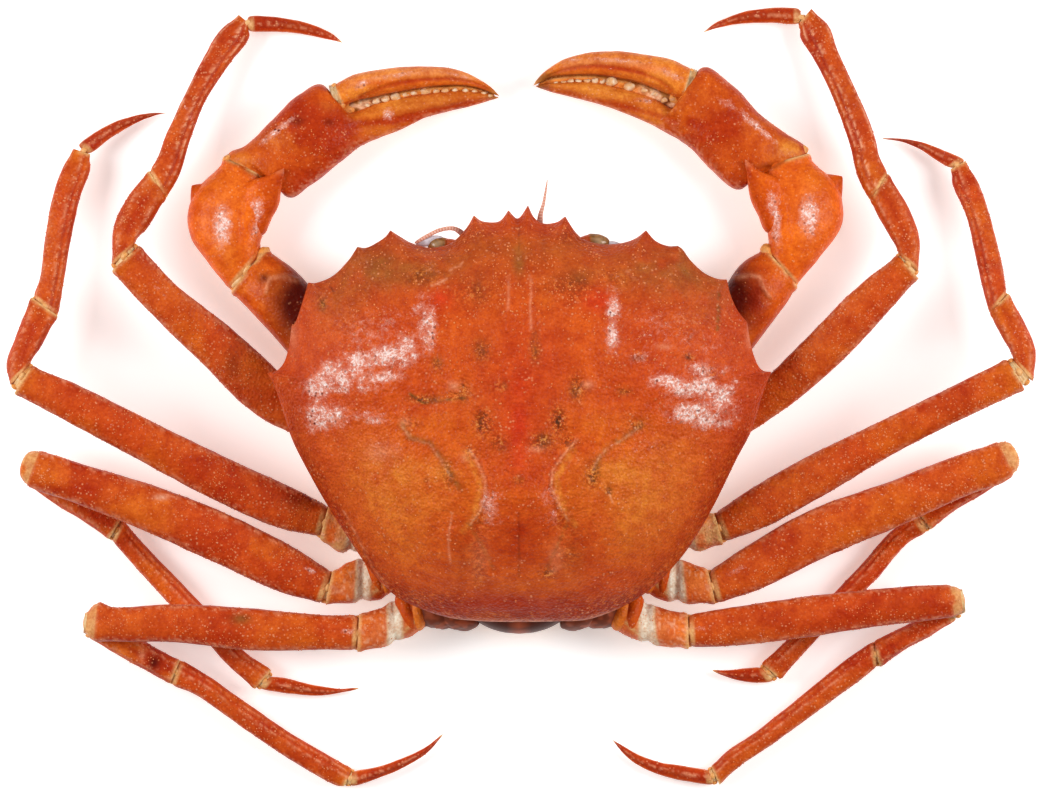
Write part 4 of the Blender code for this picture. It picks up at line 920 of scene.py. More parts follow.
# Painted lines of the shell by shade: plan reach, strength, plan points
SHELL_LINES = {
    "pale": (
        (1.1, 0.6, INNER_RIMS[0]), (1.1, 0.6, INNER_RIMS[1]),
        (1.0, 0.45, ((403, 426), (412, 439), (431, 444), (442, 460), (452, 478))),
        (1.0, 0.45, ((640, 426), (622, 439), (605, 449), (595, 462), (590, 480))),
        (1.0, 0.5, ((453, 512), (449.5, 530), (449, 545), (451, 562))),
        (0.9, 0.4, ((344, 510), (357, 535), (374, 569), (388, 586))),
        (1.0, 0.7, ((432, 286.5), (440, 284), (447, 279.5))),
        (1.6, 0.3, ((508.5, 278), (509, 292), (508, 310))),
        (1.3, 0.35, ((530, 277), (531.5, 288), (530, 306), (531, 330))), (0.9, 0.6, ((608, 491), (612, 502))),
        (1.0, 0.5, ((450, 271), (461, 266), (463, 263))), (1.2, 0.35, ((626, 272), (634, 280))),
        (1.4, 0.55, ((400, 602), (440, 618), (480, 621), (580, 621), (620, 609))),
    ),
    "dark": (
        (0.9, 0.3, ((479, 458), (487.6, 480), (487.6, 494), (482, 511))),
        (0.9, 0.3, ((561, 453), (550, 470), (549, 487), (558, 508))), (1.1, 0.8, ((331, 287), (334.5, 292.5))),
        (0.9, 0.3, ((719, 296), (718, 326))), (0.9, 0.45, ((413, 396), (426, 404), (445, 401))),
        (1.0, 0.4, ((687, 342), (690, 336))), (0.9, 0.3, ((519, 228), (519, 252))),
        (1.2, 0.3, ((519, 512), (519, 575))),
    ),
    "golden": (
        (3.6, 0.6, ((466, 452), (480, 480), (480, 494), (474, 516), (464, 530))),
        (3.6, 0.6, ((572, 450), (557, 475), (557, 490), (566, 512), (574, 524))),
    ),
    "olive": (
        (3.4, 0.6, OUTER_RIMS[0]), (3.4, 0.6, OUTER_RIMS[1]), (1.6, 0.95, ((717.7, 292), (716.6, 330))),
        (1.6, 0.8, ((411, 394), (424, 403), (444, 400), (466, 398))),
        (2.0, 0.35, REAR_GROOVES[0]), (2.0, 0.35, REAR_GROOVES[1]),
    ),
}
# Rims and grooves of the shell: height in millimetres, plan reach, plan points
SHELL_CREASES = (
    (0.5, 2.6, INNER_RIMS[0]), (0.5, 2.6, INNER_RIMS[1]),
    (-0.35, 3.0, ((482, 456), (491, 480), (491, 495), (486, 512))),
    (-0.35, 3.0, ((558, 450), (546, 470), (545, 487), (554, 510))),
    (0.3, 2.4, OUTER_RIMS[0]), (0.3, 2.4, OUTER_RIMS[1]),
    (-0.15, 6.0, ((345, 408), (390, 406), (420, 398), (445, 402), (466, 412))),
    (-0.15, 6.0, ((695, 404), (650, 404), (618, 396), (592, 400), (572, 412))),
    (0.3, 3.0, ((508.5, 276), (508.5, 330))), (0.3, 3.0, ((530.5, 276), (530.5, 330))),
    (0.5, 4.0, ((278, 372), (290, 374), (302, 375))), (0.5, 4.0, ((762, 371), (748, 373), (736, 374))),
    (0.45, 4.0, ((298, 324), (312, 304), (332, 284), (352, 268))),
    (0.45, 4.0, ((742, 322), (730, 303), (712, 284), (692, 268))),
    (-0.35, 6.0, ((330, 330), (352, 305), (385, 292), (420, 296))),
    (-0.35, 6.0, ((712, 328), (690, 304), (655, 290), (622, 294))),
    (-0.3, 4.0, ((519, 226), (519, 330))), (-0.25, 4.0, ((519, 505), (519, 600))),
    (-0.3, 5.0, ((498, 300), (490, 340), (476, 372), (464, 396))),
    (-0.3, 5.0, ((542, 300), (548, 340), (562, 372), (576, 396))),
    (-0.35, 4.0, REAR_GROOVES[0]), (-0.35, 4.0, REAR_GROOVES[1]),
    (-0.3, 2.6, ((321, 480), (344, 512), (357, 537), (374, 571), (388, 588), (420, 603), (480, 612), (560, 612),
                 (612, 601), (645, 586), (672, 557), (692, 528), (716, 486))),
    (0.4, 2.2, ((395, 598), (440, 615), (485, 619), (555, 619), (600, 614), (622, 606))),
    (0.5, 5.0, ((454, 385), (454, 388))), (0.5, 5.0, ((587, 384), (587, 387))),
    (0.4, 5.0, ((466, 455), (466, 459))), (-0.35, 3.0, ((480, 418), (480, 430))),
    (-0.35, 3.0, ((558, 414), (558, 427))),
)
# Lobes that catch the light, in the form of RELIEF
SHELL_LOBES = (
    (430, 325, 9, 22, 0.9), (611, 325, 8, 20, 0.9), (396, 356, 22, 10, 0.8), (345, 379, 28, 11, 0.8),
    (328, 416, 24, 9, 0.6), (700, 371, 16, 9, 0.5), (690, 386, 28, 9, 0.8), (710, 411, 24, 10, 0.7),
    (636, 356, 10, 6, 0.4), (492, 505, 12, 14, 0.5), (549, 506, 11, 13, 0.5), (519, 470, 12, 20, 0.4),
    (495, 400, 16, 20, 0.3), (543, 400, 16, 20, 0.3), (519, 540, 30, 22, 0.4), (466, 488, 12, 30, 0.4),
    (573, 488, 12, 30, 0.4),
)
# Rings that turn the shell in and under: share of the way to the edge, drop in millimetres
UNDER_RINGS = ((0.9985, -0.6), (0.993, -1.4), (0.985, -LIP), (0.968, -2.9), (0.95, -3.6), (0.93, -4.2),
               (0.9, -5.2), (0.87, -6.4), (0.84, -7.5), (0.805, -9.4), (0.77, -11.6), (0.73, -14.0),
               (0.6, -14.0), (0.4, -14.0), (0.2, -14.0))


def closed_outline():
    """The carapace edge: a smooth curve that breaks at tooth tips, in a number of
    columns that halves four times."""
    points = plan([row[:2] for row in OUTLINE])
    tips = [row[2] for row in OUTLINE]
    count = len(points)
    spans = np.linalg.norm(np.roll(points, -1, axis=0) - points, axis=1)
    steps = np.maximum(2, np.round(spans / COLUMN_STEP)).astype(int)
    while steps.sum() % 16:
        steps[np.argmax(spans / steps)] += 1
    columns = []
    for i in range(count):
        here, there = points[i], points[(i + 1) % count]
        leave = there - here if tips[i] else (there - points[i - 1]) / 2
        arrive = here - there if tips[(i + 1) % count] else (here - points[(i + 2) % count]) / 2
        u = (np.arange(steps[i]) / steps[i])[:, None]
        columns.append(
            (2 * u**3 - 3 * u**2 + 1) * here + (u**3 - 2 * u**2 + u) * leave
            + (3 * u**2 - 2 * u**3) * there - (u**3 - u**2) * arrive
        )
    return np.vstack(columns)


def without_teeth(outline):
    """The same columns on an outline averaged over SMOOTH_REACH either way."""
    steps = np.linalg.norm(np.roll(outline, -1, axis=0) - np.roll(outline, 1, axis=0), axis=1)
    away = np.linalg.norm(outline[:, None] - outline[None], axis=2)
    weight = np.exp(-((away / SMOOTH_REACH) ** 2)) * steps[None]
    return (weight @ outline) / weight.sum(axis=1, keepdims=True)


def margin_height(y):
    """Height of the shell's edge, which rises towards the front."""
    rear, front = MARGIN_SLOPE
    return MARGIN_REAR + (MARGIN_FRONT - MARGIN_REAR) * ease((y - rear) / (front - rear))


def stitched(counts):
    """Faces between rings of points, each with as many points as the next, twice as
    many or half as many, and fans over the first and last ring's own end points."""
    faces, base = [], 0
    for one, two in zip(counts[:-1], counts[1:]):
        after = base + one
        if one == two:
            i = np.arange(one)
            j = (i + 1) % one
            faces += np.stack([base + i, base + j, after + j, after + i], axis=-1).tolist()
        else:
            few, many, few_base, many_base = one, two, base, after
            if one > two:
                few, many, few_base, many_base = two, one, after, base
            i = np.arange(few)
            j = (i + 1) % few
            a, b, c = 2 * i, 2 * i + 1, (2 * i + 2) % many
            fans = np.concatenate([
                np.stack([few_base + i, many_base + b, many_base + a], axis=-1),
                np.stack([few_base + i, few_base + j, many_base + b], axis=-1),
                np.stack([few_base + j, many_base + c, many_base + b], axis=-1),
            ])
            faces += (fans if one < two else fans[:, ::-1]).tolist()
        base = after
    total = base + counts[-1]
    i = np.arange(counts[0])
    faces += np.stack([np.full(counts[0], total), (i + 1) % counts[0], i], axis=-1).tolist()
    i = np.arange(counts[-1])
    j = (i + 1) % counts[-1]
    faces += np.stack([np.full(counts[-1], total + 1), base + i, base + j], axis=-1).tolist()
    return faces


def carapace():
    """The top shell: rings from the dome's middle out over the edge and back under."""
    outline = closed_outline()
    smooth = without_teeth(outline)
    middle = plan(DOME_MIDDLE)
    outs = 1.0 - RING_STEP * np.arange(int(0.985 / RING_STEP))[::-1]
    rings = [(out, None) for out in outs] + list(UNDER_RINGS)
    points, counts, edge_share = [], [], []
    for out, drop in rings:
        every = 1
        for limit in (0.5, 0.25, 0.125, 0.06):
            every *= 2 if out < limit else 1
        if drop is not None and out < 0.98:
            every = max(every, 2)
        outer, inner = outline[::every], smooth[::every]
        toothed = ease((out - TEETH_FROM) / (1.0 - TEETH_FROM))
        edge = inner + (outer - inner) * toothed
        flat = middle + (edge - middle) * out
        base = margin_height(edge[:, 1])
        if drop is None:
            rise = (1.0 - out**DOME_ROUND) ** DOME_FALL
            high = base + (DOME_TOP - base) * rise + spots(*flat.T, RELIEF) * (1.0 - out**6)
        else:
            high = np.maximum(SEAM, base + drop)
        points.append(np.c_[flat, high])
        counts.append(len(flat))
        edge_share.append(np.full(len(flat), out if drop is None else 2.0 - out))
    top_count = sum(counts[:len(outs)])
    points = np.vstack(points + [[[*middle, points[0][:, 2].mean()]], [[*middle, SEAM]]])
    out = np.concatenate(edge_share + [[0.0], [2.0]])
    x, y = points[:, 0], points[:, 1]
    top = np.zeros(len(points))
    top[:top_count] = top[-2] = 1.0
    inside = top * (1.0 - np.clip(out, 0, 1) ** 24)
    lift = spots(x, y, SHELL_LOBES)
    for height, reach, line in SHELL_CREASES:
        lift += height * near_line(x, y, line, reach)
    lift += 0.24 * lumps(points, 9.0, 1) + 0.15 * lumps(points, 3.4, 2) + 0.1 * lumps(points, 1.7, 3)
    for *spot, strength in SHELL_SCARS:
        lift -= 0.3 * strength * near_spot(x, y, spot)
    # Short creases along the rear sides, granular swells towards the front
    front = ease((y + 10.0) / 60.0)
    stretched = points * (0.4, 1.7, 1.0)
    lift += (1.0 - front) * 0.13 * lumps(stretched, 1.6, 4) + front * 0.08 * lumps(points, 1.2, 5)
    # Wet patches with painted highlights: lower roughness, wrinkled relief, and the shader's film, glints and
    # pits
    gloss = np.zeros(len(points))
    for across, down, wide, tall, strength in SHELL_GLOSS_AND_HIGHLIGHTS:
        spot = (across, down, wide * GLOSS_WIDER[0], tall * GLOSS_WIDER[1])
        gloss = np.maximum(gloss, strength * np.minimum(1.0, GLOSS_STRONGER * near_spot(x, y, spot)))
    lift += gloss * (0.12 * lumps(points, 1.3, 11) + 0.16 * lumps(points, 2.4, 12))
    points[:, 2] += lift * inside
    points[:, 2] = np.minimum(points[:, 2], CAD_BOX[1][2] / MM - CAP_ROOM)
    paint = {key: np.zeros(len(points)) for key in (*SHELL_AREAS, "cream", "scar")}
    broken = np.clip(0.82 + 0.3 * lumps(points, 2.6, 13) + 0.4 * lumps(points, 5.5, 18), 0.0, 1.0)
    paint["gloss"] = gloss * top * broken
    # Granules thicker towards the front and the middle, in patches
    centre = hill(x - plan(DOME_MIDDLE)[0], 0.0, 42.0)
    grain = 0.06 + 0.94 * ease((y + 5.0) / 55.0) * (0.35 + 0.65 * centre)
    patches = 0.25 + 0.75 * ease((lumps(points, 7.0, 15) + 0.25) / 0.5)
    paint["grain"] = top * (1.0 - np.clip(out, 0, 1) ** 30) * grain * patches
    soft = 0.8 + 0.35 * lumps(points, 6.0, 7) + 0.25 * lumps(points, 2.2, 8)
    for key, areas in SHELL_AREAS.items():
        paint[key] += spots(x, y, areas) * top * np.clip(soft, 0.2, 1.4)
    for *spot, strength in SHELL_SCARS:
        scar = strength * near_spot(x, y, spot) * top * np.clip(soft, 0.4, 1.2)
        paint["scar"] = np.maximum(paint["scar"], scar)
    beads = np.clip(0.95 + 0.75 * lumps(points, 1.0, 17), 0.25, 1.3)
    for key, lines in SHELL_LINES.items():
        for reach, strength, line in lines:
            paint[key] = np.maximum(paint[key], strength * near_line(x, y, line, reach) * top * beads)
    # Shades of the rim at the rear, its deeper red partly painted shade of the steep rear slope, then of the
    # lip and the underside of the edge
    rear = ease((10.0 - y) / 40.0)
    paint["wine"] += top * hill(out, 1.0, 0.05) * 0.1 * rear
    paint["warm"] += top * hill(out, 1.0, 0.06) * 0.3 * rear
    paint["bright"] += top * hill(out, 1.0, 0.08) * 0.4 * rear * hill(x, 0.0, 45.0)
    paint["scar"] += top * hill(out, 0.975, 0.03) * 0.25 * rear
    paint["deep"] += top * hill(out, 1.0, 0.09) * (0.45 + 0.6 * rear) * np.clip(soft, 0.4, 1.3)
    paint["warm"] += 0.4 * (1.0 - top) * (1.0 - ease((out - 1.0) / 0.08))
    paint["cream"] += (1.0 - top) * ease((out - 1.06) / 0.12) * 0.75
    paint["deep"] += (1.0 - top) * 0.25 * np.clip(lumps(points, 5.0, 9) + 0.4, 0, 1)
    faces = stitched(counts)
    new_piece("carapace_shell", points, faces, CARAPACE_SHELL, paint, ["carapace"])
    granules("carapace_granules", [(points, faces, paint)], 0.45, (0.14, 0.32), 5)

# Sutures of the breastplate, left half: from beside the flap out between two hips
SUTURES = (
    ((498, 352), (455, 338)), ((496, 398), (408, 372)), ((494, 440), (400, 452)),
    ((495, 474), (396, 505)), ((496, 512), (398, 547)), ((500, 552), (412, 586)), ((506, 585), (442, 612)),
)
FLAP_SEAMS = (0.05, 0.14, 0.235, 0.335, 0.45, 0.6, 0.8)
MOUTH_SEAMS = (0.36, 0.72)
BODY_COLUMNS = 288
FLAP_LIP = 3.6  # height of the trough that the flap lies in


def body_outline():
    """The body's outline at the hips, both halves."""
    half = plan(BODY_HALF)
    mirrored = half[-2:0:-1].copy()
    mirrored[:, 0] = 2 * plan(DOME_MIDDLE)[0] - mirrored[:, 0]
    return np.vstack([half, mirrored])


def outline_at(outline, angle):
    """Where rays from the dome's middle at these angles meet an outline."""
    middle = plan(DOME_MIDDLE)
    turns = np.arctan2(outline[:, 1] - middle[1], outline[:, 0] - middle[0]) % math.tau
    order = np.argsort(turns)
    reach = np.linalg.norm(outline - middle, axis=1)[order]
    length = np.interp(angle % math.tau, turns[order], reach, period=math.tau)
    return middle + length[:, None] * np.c_[np.cos(angle), np.sin(angle)]


def thorax():
    """The body under the shell, with the breastplate's sutures and the flap's trough."""
    middle = plan(DOME_MIDDLE)
    angle = math.tau * np.arange(BODY_COLUMNS) / BODY_COLUMNS
    wide = outline_at(without_teeth(closed_outline()), angle)
    narrow = outline_at(body_outline(), angle)
    levels = np.array(BODY_LEVELS)
    stations = np.arange(0, len(levels) - 0.99, 0.2)
    rows = np.stack([np.interp(stations, np.arange(len(levels)), level) for level in levels.T], axis=1)
    below = np.linspace(0.72, 0.02, 44)
    rows = np.vstack([rows, np.c_[np.zeros(len(below)), np.ones(len(below)), below]])
    rings = []
    for level, share, scale in rows:
        edge = wide + (narrow - wide) * share
        rings.append(np.c_[middle + (edge - middle) * scale, np.full(BODY_COLUMNS, level)])
    points = np.vstack(rings + [[[*middle, levels[0, 0]]], [[*middle, 0.0]]])
    side = np.abs(points[:, 0] - middle[0])
    low = ease((16.0 - points[:, 2]) / 8.0)
    seam = np.zeros(len(points))
    for line in SUTURES:
        for mirror in (1, -1):
            drawn = [(DOME_MIDDLE[0] + mirror * (x - DOME_MIDDLE[0]), y) for x, y in line]
            seam = np.maximum(seam, near_line(points[:, 0], points[:, 1], drawn, 3.2))
    middle_seam = near_line(points[:, 0], points[:, 1], ((519, 262), (519, 380)), 3.0)
    flat = low * ease((24.0 - points[:, 2]) / 4.0)
    rise = (0.9 * seam + 0.7 * middle_seam) * flat
    rise += (0.16 * lumps(points, 5.0, 21) + 0.08 * lumps(points, 2.0, 22) + 0.25) * flat
    points[:, 2] = np.maximum(points[:, 2] + rise * ease((8.0 - points[:, 2]) / 6.0), 0.0)
    # The sides move in where a suture meets them, as between two hips
    out = points[:, :2] - middle
    pull = 1.0 - 0.02 * seam * low - 0.006 * (lumps(points, 4.0, 23) + 1.0)
    points[:, :2] = middle + out * pull[:, None]
    flap = np.array(ABDOMEN)
    by_length = flap[np.argsort(flap[:, 0])]
    width = np.interp(points[:, 1], by_length[:, 0], by_length[:, 2])
    behind = np.interp(points[:, 2], flap[:5, 1][::-1], flap[:5, 0][::-1]) + 2.4 + 0.02 * side**2
    within = ease((13.9 - side) / 1.2) * (points[:, 1] < -40)
    points[:, 1] += np.maximum(0.0, behind - points[:, 1]) * within * (points[:, 2] > 2.6)
    trough = ease((width + 1.6 - side) / 1.0) * (points[:, 1] < 6.5) * (points[:, 2] < FLAP_LIP)
    points[:, 2] += (FLAP_LIP - points[:, 2]) * trough
    front = ease((points[:, 1] - 30.0) / 10.0)
    frame = front * np.maximum(hill(side, 15.6, 1.1), hill(side, 0.0, 1.2)) * ease((points[:, 2] - 1.0) / 2.0)
    cheek = front * ease((side - 17.0) / 4.0) * ease((points[:, 2] - 3.0) / 4.0)
    points[:, 1] -= 0.9 * frame - 0.7 * cheek * (0.6 + 0.5 * lumps(points, 3.0, 27))
    drift = ease((lumps(points, 7.0, 24) + 0.2) / 0.8)
    paint = {
        "warm": 0.75 * np.clip(seam + middle_seam, 0, 1) + 0.35 * drift + 0.8 * cheek,
        "deep": 0.45 * np.clip(seam, 0, 1) ** 3 + 0.55 * ease((points[:, 2] - 5.0) / 8.0),
        "dark": 0.35 * trough + 0.25 * ease((points[:, 2] - 12.0) / 8.0) + 0.5 * frame,
        "cream": 0.5 * low * ease((50.0 - side) / 20.0),
    }
    parts = [(points, stitched([BODY_COLUMNS] * len(rows)), paint)]
    # Body wall between the last hips and the flap, seen behind the shell, painted dark for the shade under the
    # shell's rear edge
    for mirror in (1, -1):
        for x, y, reach in ((430, 613, (8.5, 4.4, 6.0)), (456, 618, (7.0, 3.4, 6.0))):
            at = (DOME_MIDDLE[0] + mirror * (x - DOME_MIDDLE[0]), y)
            wall, wall_faces, _ = ball((*plan(at), 14.0), reach, -0.3 * mirror, 60, 40)
            wall = wall + 0.35 * lumps(wall, 1.8, 25)[:, None] * (1.0, 1.0, 0.6)
            tones = {"dark": 0.7 - 0.45 * ease(lumps(wall, 1.4, 26) / 0.5), "deep": np.ones(len(wall))}
            parts.append((wall, wall_faces, tones))
    points, faces, paint = joined(parts)
    new_piece("thorax_plates", points, faces, BELLY_SHELL, paint, ["thorax"])


def strip(rows, columns, rings, offset, seams, step, painted_shade=0.0):
    """A flat strip that curves in an upright plane, in plates that overlap at its seams."""
    rows = [(0.0, y, 0.0, y, z, 0.0, wide, thick) for y, z, wide, thick in rows]
    middle_x = plan(DOME_MIDDLE)[0] + offset
    share = 0.5 - 0.5 * np.cos(math.pi * np.arange(rings + 2) / (rings + 1))
    share = 0.4 * share + 0.6 * np.linspace(0, 1, rings + 2)
    row, _ = along(rows, share)
    ahead, _ = along(rows, np.minimum(1.0, share + 0.01))
    behind, _ = along(rows, np.maximum(0.0, share - 0.01))
    run = np.c_[ahead[:, 1] - behind[:, 1], ahead[:, 4] - behind[:, 4]]
    run /= np.linalg.norm(run, axis=1)[:, None]
    from_end = np.minimum(1.0, np.minimum(share, 1 - share) / 0.035)
    end = np.sqrt(np.clip(1.0 - (1.0 - from_end) ** 2, 0, 1))
    angle = math.tau * np.arange(columns) / columns
    flat = [np.sign(v) * np.abs(v) ** 0.6 for v in (np.cos(angle), np.sin(angle))]
    marks = np.r_[0.0, seams, 1.0]
    which = np.clip(np.searchsorted(marks, share, side="right") - 1, 0, len(marks) - 2)
    phase = (share - marks[which]) / (marks[which + 1] - marks[which])
    groove = np.max([hill(share, seam, 0.009) for seam in seams], axis=0)
    outer = (np.sin(angle) > 0)[None]
    across = (end * row[:, 6] * (1.0 - 0.05 * phase - 0.05 * groove))[:, None] * flat[0]
    bulge = step * (0.6 * phase + 0.5 * np.sin(math.pi * np.clip(phase, 0, 1)) - 1.6 * groove)
    thick = row[:, 7, None] + np.where(outer, bulge[:, None] - step, 0.0)
    out = end[:, None] * thick * flat[1]
    y = row[:, 1, None] - run[:, 1, None] * out + 0.02 * across**2 * ease((row[:, 4, None] - 3.0) / 6.0)
    z = row[:, 4, None] + run[:, 0, None] * out
    points = np.stack([middle_x + across, y, z], axis=-1)
    seam = np.broadcast_to(groove[:, None], out.shape)
    edge = np.abs(flat[0])[None] * np.ones_like(out)
    body = points[1:-1]
    blotch = (1.0 - painted_shade) * 0.35 * ease(lumps(points, 4.0, 34))
    # Painted shadow high on the flap, under the shell's rear rim, and a deeper red higher up that is painted
    # shade too
    shadow = ease((z - 9.0) / 5.0) * ease((np.abs(across) - 1.5) / 5.0 + 0.45)
    paint = {
        "warm": 0.7 * seam + 0.4 * np.broadcast_to(1 - phase[:, None], out.shape) ** 2,
        "deep": painted_shade * ease((z - 6.0) / 6.0) + 0.4 * ease((edge - 0.85) / 0.15) + blotch,
        "dark": painted_shade * 0.95 * shadow + 0.5 * seam * seam,
        "cream": 0.5 * ease((5.0 - z) / 3.0),
    }
    paint = {
        key: np.r_[value[1:-1].ravel(), value[1].mean(), value[-2].mean()] for key, value in paint.items()
    }
    everything = np.vstack([body.reshape(-1, 3), points[0].mean(axis=0), points[-1].mean(axis=0)])
    return everything, tube_faces(len(body), columns), paint


def under_plates():
    """The flap and the two outer mouthparts, with the small palps between them."""
    points, faces, paint = strip(ABDOMEN, 44, 150, 0.0, FLAP_SEAMS, 0.35, 1.0)
    new_piece("abdomen_flap", points, faces, BELLY_SHELL, paint, ["abdomen"])
    for side, name in ((-1, "maxilliped_left"), (1, "maxilliped_right")):
        parts = [strip(MAXILLIPED, 32, 60, side * MAXILLIPED_OFFSET, MOUTH_SEAMS, 0.3)]
        for k, (x, y, z) in enumerate(((2.4, 48.6, 19.0), (1.6, 48.4, 16.4), (1.3, 47.8, 13.8))):
            at = (plan(DOME_MIDDLE)[0] + side * x, y, z)
            parts.append(ball(at, (1.3, 0.9, 1.7 - 0.2 * k), paint={"warm": 0.6}))
        points, faces, paint = joined(parts)
        new_piece(name + "_plates", points, faces, BELLY_SHELL, paint, [name])


def eyes_and_feelers():
    """Both eyestalks, both antennae and the skin of the orbits."""
    def stalk(grid):
        tip = ease((grid["share"] - 0.42) / 0.1)
        # A painted highlight in cream on top of the cornea
        shine_and_painted_highlight = hill(grid["share"], 0.72, 0.16) * facing(grid["angle"], math.pi / 2, 0.6)
        return {"warm": 1.0 - tip, "cream": 0.55 * tip * shine_and_painted_highlight}

    def swell(grid):
        return 0.25 * ease((grid["share"] - 0.42) / 0.06) - 0.25 + 0.05 * lumps(grid["points"], 1.2, 31)

    def feeler(grid):
        rings = np.sin(grid["share"] * grid["length"] * math.tau / 0.9)
        return {"pale": 0.5 + 0.4 * rings, "dark": 0.8 * ease((0.3 - grid["share"]) / 0.3)}

    def joints(grid):
        return 0.04 * np.sin(grid["share"] * grid["length"] * math.tau / 0.9)

    for name in ("eye_left", "eye_right"):
        points, faces, paint = swept(FRONT_PIECES[name], 36, 40, "ball", "ball", swell, stalk)
        new_piece(name + "_stalk", points, faces, EYE, paint, [name])
    for name in ("antenna_left", "antenna_right"):
        points, faces, paint = swept(FRONT_PIECES[name], 14, 110, "tip", "tip", joints, feeler)
        new_piece(name + "_feeler", points, faces, FEELER, paint, [name])
    # Skin of the orbits, seen under the left feeler and tucked away on the right
    for name, spot, reach, turn in (
        ("left", (430, 241.5), (4.2, 1.5, 1.1), 0.22), ("right", (614, 245), (2.2, 1.0, 1.0), -0.2)
    ):
        points, faces, paint = ball((*plan(spot), 31.6), reach, turn, 32, 18)
        points[:, 2] += 0.12 * lumps(points, 1.4, 33)
        new_piece("orbit_skin_" + name, points, faces, ORBIT_SKIN, paint)


# Columns and rings of each kind of segment, and its two ends
DETAIL = {
    "hip": (44, 60, "ball", "socket"), "merus": (48, 150, "ball", "socket"),
    "carpus": (44, 64, "ball", "socket"), "propodus": (48, 120, "ball", "socket"),
    "dactylus": (40, 90, "ball", "tip"), "arm": (56, 80, "ball", "socket"),
    "wrist": (72, 90, "ball", "socket"), "palm": (72, 190, "ball", "tip"), "finger": (56, 150, "ball", "tip"),
}
# Long ridges of a segment: angle round the section, reach, height in millimetres
RIDGES = {
    "merus": ((0.55, 0.2, 0.3), (2.6, 0.2, 0.25), (4.7, 0.4, 0.2)),
    "carpus": ((1.0, 0.16, 0.3), (2.2, 0.16, 0.3), (1.6, 0.2, -0.2)),
    "propodus": ((1.46, 0.11, 0.3), (0.92, 0.11, 0.3), (1.19, 0.14, -0.25), (2.5, 0.12, 0.22),
        (4.7, 0.3, 0.25)),
    "dactylus": ((1.57, 0.2, 0.25), (0.9, 0.25, -0.2), (2.24, 0.25, -0.2), (4.7, 0.2, 0.2)),
    "palm": ((2.7, 0.25, 0.25),),
}
# Lines drawn on single segments: height, reach in plan units, shade, strength, plan points
SEGMENT_LINES = {
    "claw_left_arm": ((0.7, 2.2, "pale", 0.45, ((266, 292), (269, 279), (284, 276), (298, 281))),),
    "claw_right_arm": ((0.7, 2.2, "pale", 0.45, ((736, 278), (750, 275), (760, 277), (763, 288), (770, 297))),),
    "claw_left_wrist": (
        (-0.4, 4.0, "bright", 0.5, ((250, 196), (245, 215), (243, 240))),
        (-0.7, 2.2, "dark", 0.5, ((228, 158), (240, 165), (250, 173), (262, 178), (270, 180)))),
    "claw_right_wrist": (
        (-0.4, 4.0, "bright", 0.5, ((778, 192), (786, 215), (789, 240))),
        (-0.7, 2.2, "dark", 0.5, ((745, 162), (755, 168), (765, 170), (775, 167), (787, 158), (800, 151)))),
    "claw_left_palm": (
        (-0.5, 4.0, "deep", 0.55, ((352, 124), (380, 122), (400, 118), (430, 111), (460, 105), (490, 98))),
        (0.4, 3.5, "warm", 0.6, ((345, 118), (372, 114), (402, 108), (432, 102), (464, 97), (490, 95))),
        (-0.4, 5.0, "deep", 0.6, ((300, 140), (320, 136), (345, 128)))),
    "claw_right_palm": (
        (-0.5, 4.0, "deep", 0.55, ((675, 121), (655, 114), (630, 107), (600, 100), (570, 93), (545, 87))),
        (0.4, 3.5, "warm", 0.6, ((684, 110), (660, 105), (630, 97), (600, 90), (572, 86), (545, 84))),
        (-0.4, 5.0, "deep", 0.6, ((735, 132), (715, 128), (690, 122)))),
    "claw_left_finger": (
        (-0.55, 2.2, "deep", 0.7,
            ((360, 97), (380, 88), (400, 82), (420, 79), (450, 78), (470, 81), (488, 88))),
        (0.2, 4.0, "pale", 0.25, ((352, 84), (380, 77), (410, 72), (440, 71), (470, 76)))),
    "claw_right_finger": (
        (-0.55, 2.2, "deep", 0.7,
            ((672, 90), (660, 80), (640, 72), (620, 68), (600, 65), (580, 66), (562, 70), (548, 76))),
        (0.2, 4.0, "pale", 0.25, ((672, 74), (650, 66), (620, 60), (590, 60), (565, 66)))),
}
